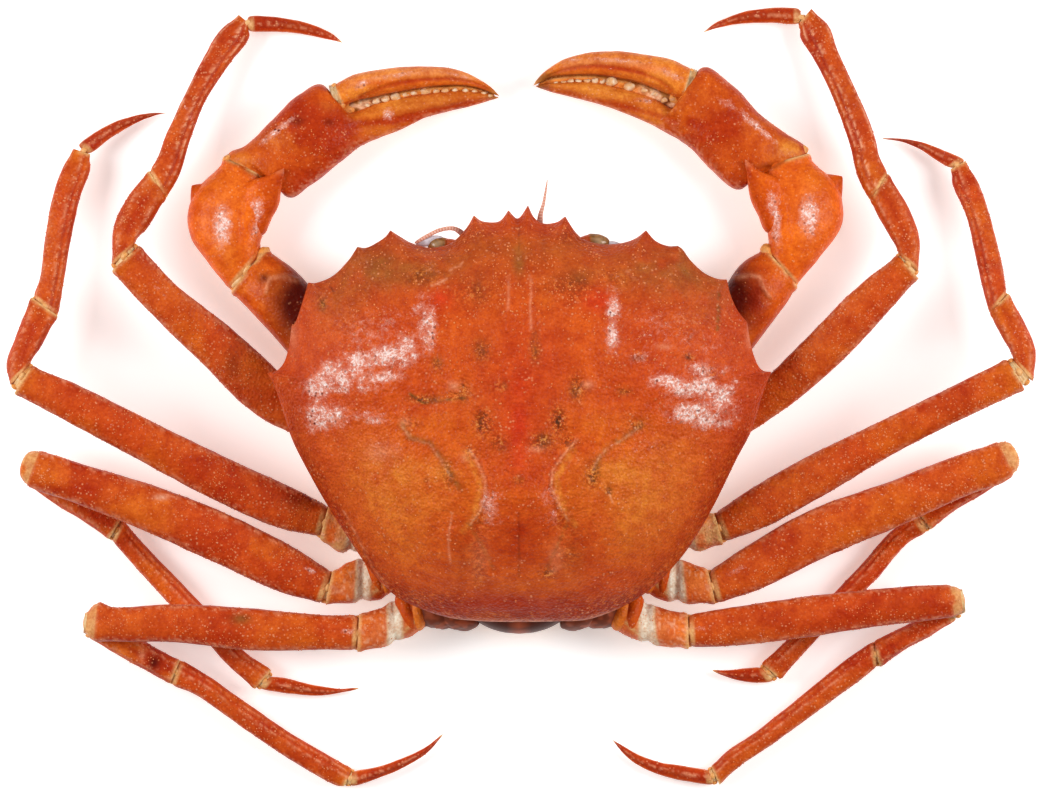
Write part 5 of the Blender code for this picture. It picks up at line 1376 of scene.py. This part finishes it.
# Painted areas of single segments: shade, plan point and reaches, strength
SEGMENT_AREAS = {
    # The large wine areas of the arms next to the shell, and the right arm's deep one, are painted shadow of
    # the shell's front corners
    "claw_left_arm": (("bright", 255, 305, 16, 34, 1.0), ("wine", 298, 306, 22, 36, 1.25),
        ("wine", 264, 278, 6, 5, 0.8), ("golden", 252, 292, 8, 8, 0.4), ("bright", 274, 266, 10, 7, 0.9)),
    "claw_right_arm": (("bright", 778, 298, 16, 34, 1.0), ("wine", 735, 298, 20, 34, 1.15),
        ("deep", 755, 300, 12, 20, 0.8), ("golden", 786, 290, 8, 8, 0.4), ("bright", 752, 262, 10, 8, 0.7)),
    "claw_left_palm": (("deep", 305, 125, 22, 12, 0.7), ("deep", 320, 140, 12, 10, 0.4),
        ("wine", 297, 121, 7, 5, 0.7), ("wine", 329, 122, 5, 3.5, 0.7), ("golden", 262, 140, 30, 12, 0.4),
        ("golden", 240, 160, 18, 14, 0.6), ("golden", 325, 106, 7, 6, 1.0), ("warm", 270, 175, 16, 14, 0.4),
        ("golden", 425, 102, 60, 8, 0.8), ("deep", 420, 120, 60, 6, 0.5), ("deep", 315, 150, 30, 22, 0.45),
        ("olive", 494, 96, 8, 3, 0.9), ("bright", 322, 98, 22, 9, 0.7), ("bright", 256, 150, 20, 10, 0.5)),
    "claw_right_palm": (("deep", 725, 120, 20, 14, 0.7), ("deep", 700, 138, 14, 10, 0.4),
        ("golden", 770, 125, 26, 10, 0.5), ("golden", 792, 150, 20, 16, 0.6), ("wine", 768, 166, 12, 3, 0.6),
        ("warm", 770, 165, 16, 14, 0.4), ("golden", 605, 90, 56, 8, 0.9), ("golden", 795, 146, 16, 10, 0.7),
        ("deep", 722, 140, 30, 20, 0.3), ("olive", 541, 86, 9, 3, 0.9), ("bright", 712, 80, 20, 9, 0.6),
        ("bright", 768, 130, 24, 12, 0.5)),
    # The pale spots on the wrists are painted highlights
    "claw_left_wrist": (("pale", 222, 225, 9, 22, 0.3), ("warm", 240, 250, 14, 18, 0.5)),
    "claw_right_wrist": (("pale", 808, 215, 9, 20, 0.3), ("warm", 790, 240, 14, 18, 0.5)),
    "claw_left_finger": (("golden", 400, 74, 90, 7, 0.6), ("golden", 358, 90, 14, 9, 0.7),
        ("olive", 492, 92, 10, 5, 0.8), ("bright", 400, 82, 60, 3, 0.5)),
    "claw_right_finger": (("golden", 620, 58, 90, 7, 0.7), ("golden", 668, 78, 14, 9, 0.8),
        ("olive", 545, 78, 16, 7, 1.0), ("cream", 532, 83, 5, 4, 0.8), ("bright", 620, 68, 60, 3, 0.5)),
    "leg3_right_propodus": (("deep", 855, 585, 40, 30, 0.6),),
    "leg1_left_propodus": (("deep", 190, 120, 14, 70, 0.35),),
    "leg1_right_propodus": (("deep", 850, 120, 14, 70, 0.35),),
    # The bright and golden spot on this carpus is painted light against the shadow the merus casts on it
    "leg4_left_carpus": (("bright", 124, 645, 16, 12, 0.9), ("golden", 124, 645, 16, 12, 0.6),
        ("wine", 153, 663, 6, 7, 1.0), ("deep", 153, 663, 9, 10, 0.9), ("pale", 141, 655, 3, 5, 0.5)),
    "leg4_left_merus": (("olive", 241, 619, 10, 5, 0.9), ("dark", 243, 617, 7, 2, 0.35),
        ("deep", 180, 640, 60, 6, 0.4)),
    "leg3_left_merus": (("skin", 161, 497, 7, 2.4, 0.35), ("deep", 60, 490, 40, 6, 0.6)),
    "leg2_left_merus": (("deep", 280, 486, 44, 12, 0.6), ("wine", 304, 500, 24, 10, 0.5)),
    "leg2_right_merus": (("deep", 770, 490, 30, 10, 0.3),),
    "leg1_left_merus": (("wine", 232, 365, 10, 14, 0.45), ("deep", 190, 310, 50, 10, 0.3)),
    "leg4_right_carpus": (("dark", 878, 664, 4, 3, 0.6),),
}
# Outer tooth of each wrist: plan points of its foot and its tip, the heights of both, half
# its width and half its thickness
WRIST_TEETH = {
    "claw_left_wrist": ((204, 197), (191, 185), 10.2, 11.2, 6.2, 4.6),
    "claw_right_wrist": ((829, 188), (843, 176), 9.8, 11.2, 6.0, 4.4),
}
# Inner edge of each wrist, which runs out into a long spine: sections as the limbs have them
WRIST_SPINES = {
    "claw_left_wrist": ((263, 238, 238, 228, 11.6, 8.6), (271.5, 219, 236, 206, 12.4, 10.4),
        (278.5, 204, 238, 190, 13.4, 9.6), (281, 190, 252, 180, 15.6, 6.4), (283, 178, 271, 174, 17.2, 3.4),
        (284.6, 168, 283.4, 167.8, 18.4, 0.6)),
    "claw_right_wrist": ((766, 235, 792, 226, 11.6, 8.6), (759, 217, 796, 206, 12.4, 10.4),
        (751.5, 201, 792, 189, 13.4, 9.6), (748.6, 187, 778, 178, 15.6, 6.4), (747, 174, 759, 170, 17.2, 3.4),
        (744.4, 159, 745.6, 159, 18.4, 0.6)),
}
# Teeth of the fixed fingers: plan point, half size in millimetres
FIXED_TEETH = {
    "claw_left": ((367, 103, 0.9), (376, 99, 1.1), (385, 97, 1.2), (395, 95, 1.7), (405, 92, 1.1),
        (413, 91, 1.1), (425, 89, 1.6), (436, 89, 1.0), (445, 88.5, 1.1), (455, 88, 1.1), (465, 88.5, 1.0),
        (474, 89.5, 0.9), (483, 91, 0.8), (490, 93, 0.7)),
    "claw_right": ((665, 98, 1.0), (655, 92, 1.1), (645, 88, 1.2), (630, 84, 1.8), (612, 79, 1.8),
        (603, 79, 1.0), (595, 78.5, 1.2), (587, 78.5, 1.0), (579, 78.5, 1.1), (571, 79, 1.0), (564, 80, 0.9),
        (556, 81, 0.8), (549, 82, 0.7)),
}
# Skin that bulges from the claws' joints: plan point, height, half sizes, turn, tones
CLAW_SKIN = {
    "claw_left": (
        (227, 158, 11.5, (1.6, 1.2, 1.6), 0.5, {"warm": 0.9}),
        (262, 257, 14.5, (2.2, 3.4, 2.6), -0.4, {"warm": 0.9}),
        (244, 276, 15.6, (4.8, 1.7, 2.2), 0.72, {"warm": 0.2}),
        (338, 98, 10.5, (1.5, 1.7, 3.4), 0.3, {"warm": 0.9}),
        (331, 107, 12.5, (1.3, 1.2, 1.8), 0.3, {"warm": 0.6}),
        (347, 109, 8.4, (3.0, 2.2, 3.2), 0.2, {"warm": 0.9, "dark": 0.6})),
    "claw_right": (
        (804, 149, 11.0, (1.6, 1.2, 1.5), -0.5, {"warm": 0.9}),
        (768, 254, 14.5, (2.2, 3.2, 2.6), 0.4, {"warm": 0.9}),
        (781, 268, 15.2, (4.6, 1.9, 2.2), -0.7, {"warm": 0.2}),
        (686, 90, 10.5, (1.5, 1.7, 3.4), -0.3, {"warm": 0.9}),
        (676, 99, 8.4, (3.0, 2.2, 3.2), -0.2, {"warm": 0.9, "dark": 0.6})),
}
# How far each kind of segment reaches past its solid's ends, in millimetres
OVERLAP = {
    "hip": (0.0, 0.6), "merus": (1.3, 0.6), "carpus": (1.5, 0.7), "propodus": (1.6, 0.7),
    "dactylus": (1.5, 0.0), "arm": (0.8, 0.8), "wrist": (1.8, 2.4), "palm": (0.0, 0.0), "finger": (2.0, 0.0),
}
# The palm's base, tucked under the wrist's edge
UNDER_WRIST = {
    "claw_left_palm": ((222, 161, 264, 188, 9.2, 11.0),),
    "claw_right_palm": ((812, 154, 763, 187, 9.2, 11.0),),
}
# Grain of each kind of segment: least and most
GRAIN = {
    "hip": (0.1, 0.5), "merus": (0.12, 0.9), "carpus": (0.1, 0.7), "propodus": (0.1, 0.7),
    "dactylus": (0.0, 0.2), "arm": (0.0, 0.12), "wrist": (0.0, 0.06), "palm": (0.0, 0.1),
    "finger": (0.0, 0.03),
}
# Patches of granules on single segments: plan point and reaches
SEGMENT_GRAIN = {
    "claw_left_palm": ((320, 146, 16, 14), (300, 128, 16, 8), (290, 160, 14, 12)),
    "claw_right_palm": ((708, 140, 20, 12), (690, 125, 20, 10), (735, 155, 18, 10)),
}
# Where segments shine, wet, with painted highlights: plan point, plan reaches, turn in degrees, strength
SEGMENT_GLOSS_AND_HIGHLIGHTS = {
    "claw_left_wrist": ((222, 226, 10, 24, 0, 1.0), (258, 222, 5, 26, -15, 0.75)),
    "claw_right_wrist": ((809, 216, 11, 22, 0, 1.0), (776, 222, 6, 24, 0, 0.85)),
    "claw_left_palm": ((277, 130, 27, 4.6, 39, 0.8), (388, 113, 7, 8, 0, 0.85)),
    "claw_right_palm": ((757, 126, 30, 5, -40, 0.8), (727, 103, 10, 6, -30, 0.7), (645, 100, 12, 5, 0, 0.6)),
    "claw_left_finger": ((362, 84, 10, 5, 25, 0.7), (400, 74, 32, 3, 8, 0.6), (455, 74, 24, 3, -14, 0.5)),
    "claw_right_finger": ((672, 75, 16, 4, -25, 0.7), (620, 60, 40, 3, -5, 0.6), (572, 60, 20, 3, 12, 0.5)),
    "leg3_left_merus": ((310, 570, 9, 3, -25, 0.8),), "leg4_left_merus": ((347, 631, 9, 3, 0, 0.8),),
    "leg3_right_merus": ((737, 570, 12, 3, 25, 0.6),), "leg4_right_merus": ((700, 628, 10, 3, 0, 0.5),),
    "leg1_left_merus": ((160, 290, 16, 3, -42, 0.4),), "leg1_left_propodus": ((190, 118, 3, 60, 22, 0.35),),
    "leg1_right_propodus": ((850, 118, 3, 60, -20, 0.35),), "leg2_left_carpus": ((35, 330, 3, 10, 20, 0.4),),
}
FOLDED_LEGS = ("leg3", "leg4")  # legs whose knee bends back under them
KNEE_FOLD = 1.3  # millimetres from fold to fold at such a knee
FINGER_ROW = 5  # the section at which the palm narrows to its fixed finger


def shine_and_painted_highlight(name, x, y):
    """How wet a segment is at each point, which is where its highlight is painted."""
    total = np.zeros(np.shape(x))
    for across, down, wide, tall, turn, strength in SEGMENT_GLOSS_AND_HIGHLIGHTS.get(name, ()):
        middle = plan((across, down))
        dx, dy = x - middle[0], y - middle[1]
        c, s = math.cos(math.radians(turn)), math.sin(math.radians(turn))
        u = (dx * c + dy * s) / (wide * PLAN_UNIT)
        v = (dy * c - dx * s) / (tall * PLAN_UNIT)
        total = np.maximum(total, strength * np.exp(-(u**2 + v**2) ** 1.3))
    return total


def coxa_lobes(rows):
    """Orange lobes of a leg's root, side by side on cream skin."""
    rows = sections(rows)
    parts = []
    for share, lean, wide, tones in (
        (0.33, 0.1, 0.5, {"deep": 0.35, "bright": 0.6}), (0.19, -0.12, 0.46, {"golden": 0.75, "bright": 0.4}),
        (0.05, 0.15, 0.46, {"deep": 0.4, "bright": 0.6}),
    ):
        row = row_at(rows, share)
        across = row[0:2] - row[2:4]
        middle = (row[0:2] + row[2:4]) / 2 + across * lean * 0.5
        turn = math.atan2(across[1], across[0]) + lean
        reach = (np.linalg.norm(across) * wide, 0.125 * length_of(rows), row[5] * 0.4)
        parts.append(ball((*middle, row[4] + row[5] * 0.19), reach, turn, 40, 26, tones))
    return parts


def between_fingers(limb):
    """The face that the fixed finger turns to the movable one, which carries its teeth."""
    palm = sections(LIMBS[limb]["palm"])
    finger = sections(LIMBS[limb]["finger"])
    sign = 1 if limb == "claw_left" else -1
    rows = []
    for share in np.linspace(0.0, 0.97, 14):
        upper = row_at(finger, share)
        start = upper[2:4] * 0.86 + upper[0:2] * 0.14
        closest = FINGER_ROW + int(np.argmin(np.linalg.norm(palm[FINGER_ROW:-1, 0:2] - upper[2:4], axis=1)))
        passed = upper[0] * sign < palm[closest, 0] * sign
        first = max(FINGER_ROW, min(closest, len(palm) - 2) - passed)
        lower = palm[first:first + 2]
        run = lower[1, 0:2] - lower[0, 0:2]
        part = np.clip((upper[2:4] - lower[0, 0:2]) @ run / (run @ run), 0, 1)
        foot = lower[0, 0:2] + run * part + (lower[0, 2:4] - lower[0, 0:2]) * 0.2
        rows.append((*start, *foot, lower[0, 4] - 0.2, 6.4 * (1.05 - share)))
    rows = [to_plan(row) for row in rows]

    def tones(grid):
        # Dark on the side towards the movable finger: painted shadow of the gap; the rough patches are dark
        # skin
        upper = ease(np.cos(grid["angle"]) / 0.5)
        rough = ease((lumps(grid["points"], 1.6, 97) + 0.2) / 0.5) * ease((0.4 - grid["share"]) / 0.3)
        skin = 0.5 * (1.0 - rough) * ease((0.35 - grid["share"]) / 0.2)
        return {"golden": np.full_like(upper, 0.75), "dark": np.maximum(0.75 * upper, 0.7 * rough),
                "skin": skin, "cream": 0.45 * hill(upper, 0.4, 0.3)}

    return swept(rows, 28, 70, "flat", "tip", lambda grid: 0.35 * lumps(grid["points"], 1.5, 91) - 0.1, tones)


def inner_edge(rows):
    """The wrist's inner edge, orange with a redder ridge, that ends in the long spine."""
    def tones(grid):
        top = ease(np.sin(grid["angle"]) / 0.5)
        ridge = facing(grid["angle"], 0.9, 0.6)
        # A painted highlight along the top of the edge
        painted_highlight_streak = hill(grid["share"], 0.3, 0.2) * facing(grid["angle"], 1.5, 0.4)
        deep = 0.55 * ridge + 0.3 * ease((grid["share"] - 0.6) / 0.2)
        return {"bright": np.full_like(top, 0.75), "deep": deep, "gloss": 0.85 * painted_highlight_streak * top,
                "pale": 0.4 * ease((grid["share"] - 0.85) / 0.1)}

    return swept(rows, 40, 60, "ball", "tip", lambda grid: 0.12 * lumps(grid["points"], 2.6, 92), tones)


def limb_piece(limb, kind, rows):
    """One segment of a limb. Its points, faces and paint come back for the granules."""
    columns, rings, near, far = DETAIL[kind]
    folded = kind == "merus" and limb[:4] in FOLDED_LEGS
    if folded:
        far = "knee"
    name = limb + "_" + kind
    seed = 40 + sum(ord(letter) for letter in name) % 900

    def shape(grid):
        points, angle = grid["points"], grid["angle"]
        x, y = points[..., 0], points[..., 1]
        ends = ease(np.minimum(grid["near"], grid["far"]) / (0.12 * grid["length"] + 1.0))
        lift = 0.10 * lumps(points, 4.2, seed) + 0.05 * lumps(points, 1.8, seed + 1)
        for centre, reach, height in RIDGES.get(kind, ()):
            bead = 1.0 + 0.35 * lumps(points, 0.9, seed + 2)
            lift = lift + height * facing(angle, centre, reach) * ends * bead
        top = ease(np.sin(angle) / 0.4)
        for height, reach, _, _, line in SEGMENT_LINES.get(name, ()):
            lift = lift + height * near_line(x, y, line, reach) * top
        if kind == "hip":
            bend = grid["share"] + 0.05 * np.cos(angle)
            lift = lift + 0.5 * hill(bend, 0.28, 0.12) - 0.9 * hill(bend, 0.5, 0.05)
            lift = lift + 0.35 * lumps(points, 3.0, seed + 3)
        if folded:
            lift = lift + 0.1 * np.cos(grid["far"] * math.tau / KNEE_FOLD) * ease((4.4 - grid["far"]) / 1.0)
        return lift - 0.12

    def colours(grid):
        points, angle = grid["points"], grid["angle"]
        x, y = points[..., 0], points[..., 1]
        drift = lumps(points, 11.0, seed + 5)
        small = lumps(points, 3.0, seed + 6)
        side = np.abs(np.cos(angle))
        none = np.zeros_like(side)
        below = ease(-np.sin(angle) / 0.5)
        rim = ease((0.9 - grid["far"]) / 0.5) if far == "socket" else none
        if folded:
            rim = 0.6 * ease((4.4 - grid["far"]) / 0.9)
        neck = ease((2.6 - grid["near"]) / 1.0) * (0.15 + 0.85 * facing(angle, 1.9, 0.75))
        # Deep red in drifts, and rising towards both sides of the section, which is painted shade
        deep = 0.12 + 0.3 * ease((side - 0.55) / 0.4) + 0.55 * ease((drift - 0.15) / 0.5)
        deep = deep + 0.25 * ease(small / 0.5)
        warm = 0.45 * ease((-drift - 0.1) / 0.5) + 0.55 * ease((5.0 - grid["far"]) / 4.0) * (far == "socket")
        warm = warm + 0.45 * ease((4.5 - grid["near"]) / 3.5) + 0.3 * below
        pale = skin = golden = wine = bright = dark = none
        # Raised ridges painted pale in beads: pale granules and a painted highlight along the ridge, stronger
        # on the first legs' propodi; grooves a deeper red
        for centre, reach, height in RIDGES.get(kind, ()):
            if height > 0:
                beads = ease((lumps(points, 0.8, seed + 2) + 0.2) / 0.5)
                pale = pale + 0.5 * facing(angle, centre, reach) * beads
            else:
                deep = deep + 0.5 * facing(angle, centre, reach)
        if kind == "propodus" and limb.startswith("leg1"):
            pale = pale * 1.7
        cream = 0.9 * rim * ease((small + 0.5) / 0.5) + 0.8 * neck
        if folded:
            fold = ease(-1.6 * np.cos(grid["far"] * math.tau / KNEE_FOLD) - 0.9)
            deep = deep + 0.7 * ease((4.6 - grid["far"]) / 0.4) * fold
            golden = golden + 0.4 * ease((4.4 - grid["far"]) / 1.0)
        if kind == "hip":
            # Bright orange ends, a slanting band of pale skin between them, cream seams, and pale sprinkles on
            # the outer end that are painted highlights
            bend = grid["share"] + 0.05 * np.cos(angle) + 0.02 * small
            outer, inner = ease((bend - 0.6) / 0.04), ease((0.4 - bend) / 0.04)
            skin = ease(hill(bend, 0.5, 0.09) * 1.6)
            bright = 0.75 * outer + 0.6 * inner
            golden = outer * np.maximum(facing(angle, 1.1, 0.5), 0.9 * ease((grid["share"] - 0.9) / 0.06))
            golden = golden + 0.8 * inner * facing(angle, 1.9, 0.3)
            seams = hill(bend, 0.6, 0.016) + hill(bend, 0.4, 0.016) + 0.8 * ease((1.0 - grid["far"]) / 0.5)
            seams = seams + inner * (facing(angle, 1.5 + 2.0 * bend, 0.09) + facing(angle, 0.9 - bend, 0.09))
            cream = 0.85 * seams + (0.75 if limb.startswith("leg2") else 0.1) * ease(small + 0.5)
            deep, warm = deep * 0.5, none
            pale = pale + 0.06 + 0.85 * outer * ease((lumps(points, 0.9, seed + 10) - 0.25) / 0.3)
        if kind in ("finger", "wrist"):
            share = ease((drift + 1.2) / 1.2)
            finger_gold = 0.75 if "right" in limb else 0.6
            golden = golden + share * (finger_gold if kind == "finger" else 0.26)
            bright = bright + (0.85 if kind == "wrist" else 0.3) * share
            deep = deep * 0.4
        if kind == "palm":
            fingers = ease((grid["share"] - 0.42) / 0.12)
            golden = golden + (0.6 if "right" in limb else 0.45) * fingers
            deep = 0.15 + deep * (1.0 - 0.5 * fingers)
        if kind == "finger":
            # A painted shadow line along the edge that faces the fixed finger
            wine = 0.75 * facing(angle, 2.85, 0.14) * ease((grid["share"] - 0.2) / 0.2)
        cream = cream + 0.45 * below * (1.0 if kind in ("hip", "arm", "palm", "wrist") else 0.5)
        if kind == "dactylus":
            deep = deep + 0.6 * ease((0.75 - side) / 0.4)
            dark = 0.2 * hill(grid["share"], 0.45, 0.3) * ease((0.6 - side) / 0.3)
            cream = cream + 0.9 * ease((2.2 - grid["far"]) / 2.0)
            # Pale along the edges of the section: painted rim light
            pale = pale + 0.4 * ease((side - 0.8) / 0.15)
        found = {"deep": deep, "warm": warm, "pale": pale, "cream": cream, "dark": dark, "skin": skin,
                 "golden": golden, "wine": wine, "bright": bright}
        top = ease((np.sin(angle) + 0.1) / 0.3)
        for _, reach, shade, strength, line in SEGMENT_LINES.get(name, ()):
            found[shade] = found[shade] + strength * top * near_line(x, y, line, reach)
        for shade, *spot, strength in SEGMENT_AREAS.get(name, ()):
            found[shade] = found.get(shade, 0.0) + strength * top * near_spot(x, y, spot)
        least, most = GRAIN[kind]
        found["grain"] = least + (most - least) * ease((lumps(points, 6.0, seed + 8) + 0.15) / 0.5)
        for spot in SEGMENT_GRAIN.get(name, ()):
            found["grain"] = np.maximum(found["grain"], 0.9 * near_spot(x, y, spot) * top)
        found["gloss"] = shine_and_painted_highlight(name, x, y) * top
        return {key: np.clip(value, 0, 1) for key, value in found.items()}

    before, after = OVERLAP[kind]
    rows = [*UNDER_WRIST.get(name, ()), *rows]
    if folded:
        after = 2.2 if limb.startswith("leg3") else 0.7
    parts = [swept(rows, columns, rings, near, far, shape, colours, before, after)]
    if kind == "wrist":
        foot, tip, foot_z, tip_z, width, thick = WRIST_TEETH[name]
        tones = {"bright": 0.6, "deep": 0.2}
        parts.append(spike((*plan(foot), foot_z), (*plan(tip), tip_z), width, thick, paint=tones))
        parts.append(inner_edge(WRIST_SPINES[name]))
    if kind == "palm":
        parts.append(between_fingers(limb))
    if kind == "hip" and limb.startswith("leg"):
        parts += coxa_lobes(rows)
    points, faces, paint = joined(parts)
    material = CLAW_SHELL if limb.startswith("claw") else LIMB_SHELL
    new_piece(name + "_shell", points, faces, material, paint, [name])
    return points, faces, paint


def scaled(row, share):
    """A section row in millimetres, shrunk about its middle."""
    row = np.array(row, float)
    middle = (row[0:2] + row[2:4]) / 2
    row[0:2] = middle + (row[0:2] - middle) * share
    row[2:4] = middle + (row[2:4] - middle) * share
    row[5] *= share
    return row


def to_plan(row):
    """A section row in millimetres back in plan units, as the tables have it."""
    row = np.array(row, float)
    for k in (0, 2):
        row[k:k + 2] = row[k:k + 2] / (PLAN_UNIT, -PLAN_UNIT) + PLAN_MIDDLE
    return row


def membrane(limb, inner, outer):
    """Soft skin from inside one segment's end to inside the next one's, and the two
    knobs of the joint."""
    one, two = sections(LIMBS[limb][inner]), sections(LIMBS[limb][outer])
    inside, beyond = row_at(one, 1.0 - 1.4 / length_of(one)), row_at(two, 1.4 / length_of(two))
    start, end = one[-1], two[0]
    halfway = (start + end) / 2
    rows = [scaled(row, share) for row, share in (
        (inside, 0.6), (start, 0.72), (halfway, 0.74), (end, 0.7), (beyond, 0.6))]
    seed = 500 + sum(ord(letter) for letter in limb + inner)

    def waves(grid):
        return np.sin(grid["share"] * grid["length"] * math.tau / 0.8)

    def rings(grid):
        return 0.1 * waves(grid) + 0.15 * lumps(grid["points"], 1.6, seed)

    def tones(grid):
        return {"dark": 0.45 * ease(-waves(grid)) * ease(lumps(grid["points"], 2.0, seed) + 0.4),
                "warm": 0.8 * ease(lumps(grid["points"], 2.6, seed + 1) / 0.6)}

    parts = [swept([to_plan(row) for row in rows], 36, 30, "flat", "flat", rings, tones)]
    middle = (halfway[0:2] + halfway[2:4]) / 2
    across = halfway[0:2] - halfway[2:4]
    turn = math.atan2(*across[::-1])
    size = max(0.9, 0.24 * (np.linalg.norm(across) / 2))
    for side in (1, -1):
        high = halfway[4] + side * halfway[5] * 0.36
        parts.append(ball((*middle, high), (size * 1.1, size * 0.9, size * 0.6), turn, paint={"warm": 0.5}))
        hinge = middle + side * across / 2 * 0.78
        parts.append(ball((*hinge, halfway[4]), (size * 0.7, size, size), turn, paint={"warm": 0.9}))
    return parts


def finger_joint(limb):
    """The hinge of the movable finger: skin between palm and finger, with its two knobs."""
    sign = -1 if limb == "claw_left" else 1
    finger = sections(LIMBS[limb]["finger"])
    beyond = row_at(finger, 1.6 / length_of(finger))
    start, inside = finger[0], finger[0].copy()
    inside[[0, 2]] += sign * 2.4
    rows = [scaled(inside, 0.86), scaled(start, 0.95), scaled(beyond, 0.84)]

    def wrinkles(grid):
        waves = np.sin(grid["share"] * grid["length"] * math.tau / 0.9)
        return 0.12 * waves + 0.2 * lumps(grid["points"], 1.4, 71)

    def tones(grid):
        return {"dark": 0.35 + 0.5 * ease((lumps(grid["points"], 1.2, 72) - 0.1) / 0.4),
                "warm": 0.8 * ease(lumps(grid["points"], 2.6, 73) / 0.6)}

    parts = [swept([to_plan(row) for row in rows], 36, 26, "flat", "flat", wrinkles, tones)]
    for near, far, size in ((0.86, 0.14, 1.0), (0.1, 0.9, 1.5)):
        end = start[0:2] * near + start[2:4] * far
        at = (end[0] + sign * 0.6, end[1], start[4] + 1.8)
        parts.append(ball(at, (size, size * 1.2, size), paint={"warm": 0.9}))
    return parts


def limbs():
    """Claws and legs: shells, granules, the skin of their joints and the claws' teeth."""
    for index, (limb, segments) in enumerate(LIMBS.items()):
        kinds = list(segments)
        surfaces = [limb_piece(limb, kind, segments[kind]) for kind in kinds]
        granules(limb + "_granules", surfaces, 0.6, (0.1, 0.24), 60 + index)
        parts = []
        for inner, outer in zip(kinds[:-1], kinds[1:]):
            if outer == "finger":
                parts += finger_joint(limb)
            else:
                parts += membrane(limb, inner, outer)
        for x, y, z, reach, turn, tones in CLAW_SKIN.get(limb, ()):
            knob, knob_faces, knob_paint = ball((*plan((x, y)), z), reach, turn, 36, 24, tones)
            knob = knob + 0.3 * lumps(knob, 1.1, 93)[:, None] * (1.0, 1.0, 0.6)
            knob_paint["dark"] = 0.45 * ease((lumps(knob, 0.9, 94) - 0.1) / 0.4)
            parts.append((knob, knob_faces, knob_paint))
        points, faces, paint = joined(parts)
        new_piece(limb + "_membranes", points, faces, JOINT_SKIN, paint)
        if limb in FIXED_TEETH:
            teeth(limb)


def teeth(limb):
    """Blunt teeth along both fingers, a big one here and there, on their cutting edges."""
    palm = sections(LIMBS[limb]["palm"])
    finger = sections(LIMBS[limb]["finger"])
    parts = []
    for k, (x, y, size) in enumerate(FIXED_TEETH[limb]):
        at = plan((x, y))
        near = palm[np.argmin(np.linalg.norm(palm[:, 0:2] - at, axis=1))]
        base = near[4] + 1.3 + 1.8 * max(0.0, 1.0 - k / 5.0)
        nub, nub_faces, _ = ball((*(at - (0.0, 0.5)), base), (size, size * 0.75, size * 0.9), 0.0, 16, 10)
        nub = nub + 0.25 * size * lumps(nub, 0.9, 95)[:, None]
        parts.append((nub, nub_faces, {"warm": 0.75 * ease((lumps(nub, 0.8, 96) + 0.4) / 0.6)}))
    rows, _ = along(finger, np.linspace(0.3, 0.95, 20))
    for k, row in enumerate(rows):
        inward = (row[0:2] - row[2:4]) * 0.09
        size = 0.75 - 0.02 * k
        at = (*(row[2:4] + inward), row[4] - 1.0)
        parts.append(ball(at, (size, size, size * 0.9), paint={"dark": 0.8, "warm": 0.5}))
    points, faces, paint = joined(parts)
    new_piece(limb + "_teeth", points, faces, TOOTH, paint)


def stage():
    """A plain pale floor, two soft boxes beside the crab and a wide one overhead."""
    floor_mesh = bpy.data.meshes.new("floor")
    corners = [(x, y, -0.0004) for x, y in ((-4, -4), (4, -4), (4, 4), (-4, 4))]
    floor_mesh.from_pydata(corners, [], [(0, 1, 2, 3)])
    floor = bpy.data.objects.new("floor", floor_mesh)
    bpy.context.scene.collection.objects.link(floor)
    paper = bpy.data.materials.new("matte_white_paper")
    paper.use_nodes = True
    shader = paper.node_tree.nodes["Principled BSDF"]
    shader.inputs["Base Color"].default_value = linear("#FFFFFF")
    shader.inputs["Roughness"].default_value = 0.9
    shader.inputs["Emission Color"].default_value = linear("#FFFFFF")
    shader.inputs["Emission Strength"].default_value = 0.35
    floor_mesh.materials.append(paper)
    for name, place, size, power in (
        ("soft_box_left", (-0.78, 0.12, 0.68), 0.5, 7.4), ("soft_box_right", (0.78, 0.12, 0.68), 0.5, 7.4),
        ("front_panel", (0.0, 1.0, 1.1), 0.8, 1.8),
    ):
        light = bpy.data.lights.new(name, "AREA")
        light.size = size
        light.energy = power
        lamp = bpy.data.objects.new(name, light)
        lamp.location = place
        toward = -np.array(place) + (0.0, 0.0, 0.03)
        lamp.rotation_euler = Vector(toward).to_track_quat("-Z", "Y").to_euler()
        bpy.context.scene.collection.objects.link(lamp)
    world = bpy.data.worlds.new("white_room")
    world.use_nodes = True
    background = world.node_tree.nodes["Background"]
    background.inputs["Color"].default_value = (1.0, 1.0, 1.0, 1.0)
    background.inputs["Strength"].default_value = 0.2
    bpy.context.scene.world = world
    bpy.context.scene.view_settings.view_transform = "Standard"
    camera_data = bpy.data.cameras.new("camera")
    camera_data.sensor_width = SENSOR
    camera_data.lens = SENSOR * CAMERA_HEIGHT / (PICTURE_WIDTH * PLAN_UNIT)
    camera_data.clip_end = 100.0
    camera = bpy.data.objects.new("camera", camera_data)
    camera.location = (0.0, 0.0, (CAMERA_HEIGHT + MIDDLE_HEIGHT) * MM)
    bpy.context.scene.collection.objects.link(camera)
    bpy.context.scene.camera = camera


carapace()
thorax()
under_plates()
eyes_and_feelers()
limbs()
stage()
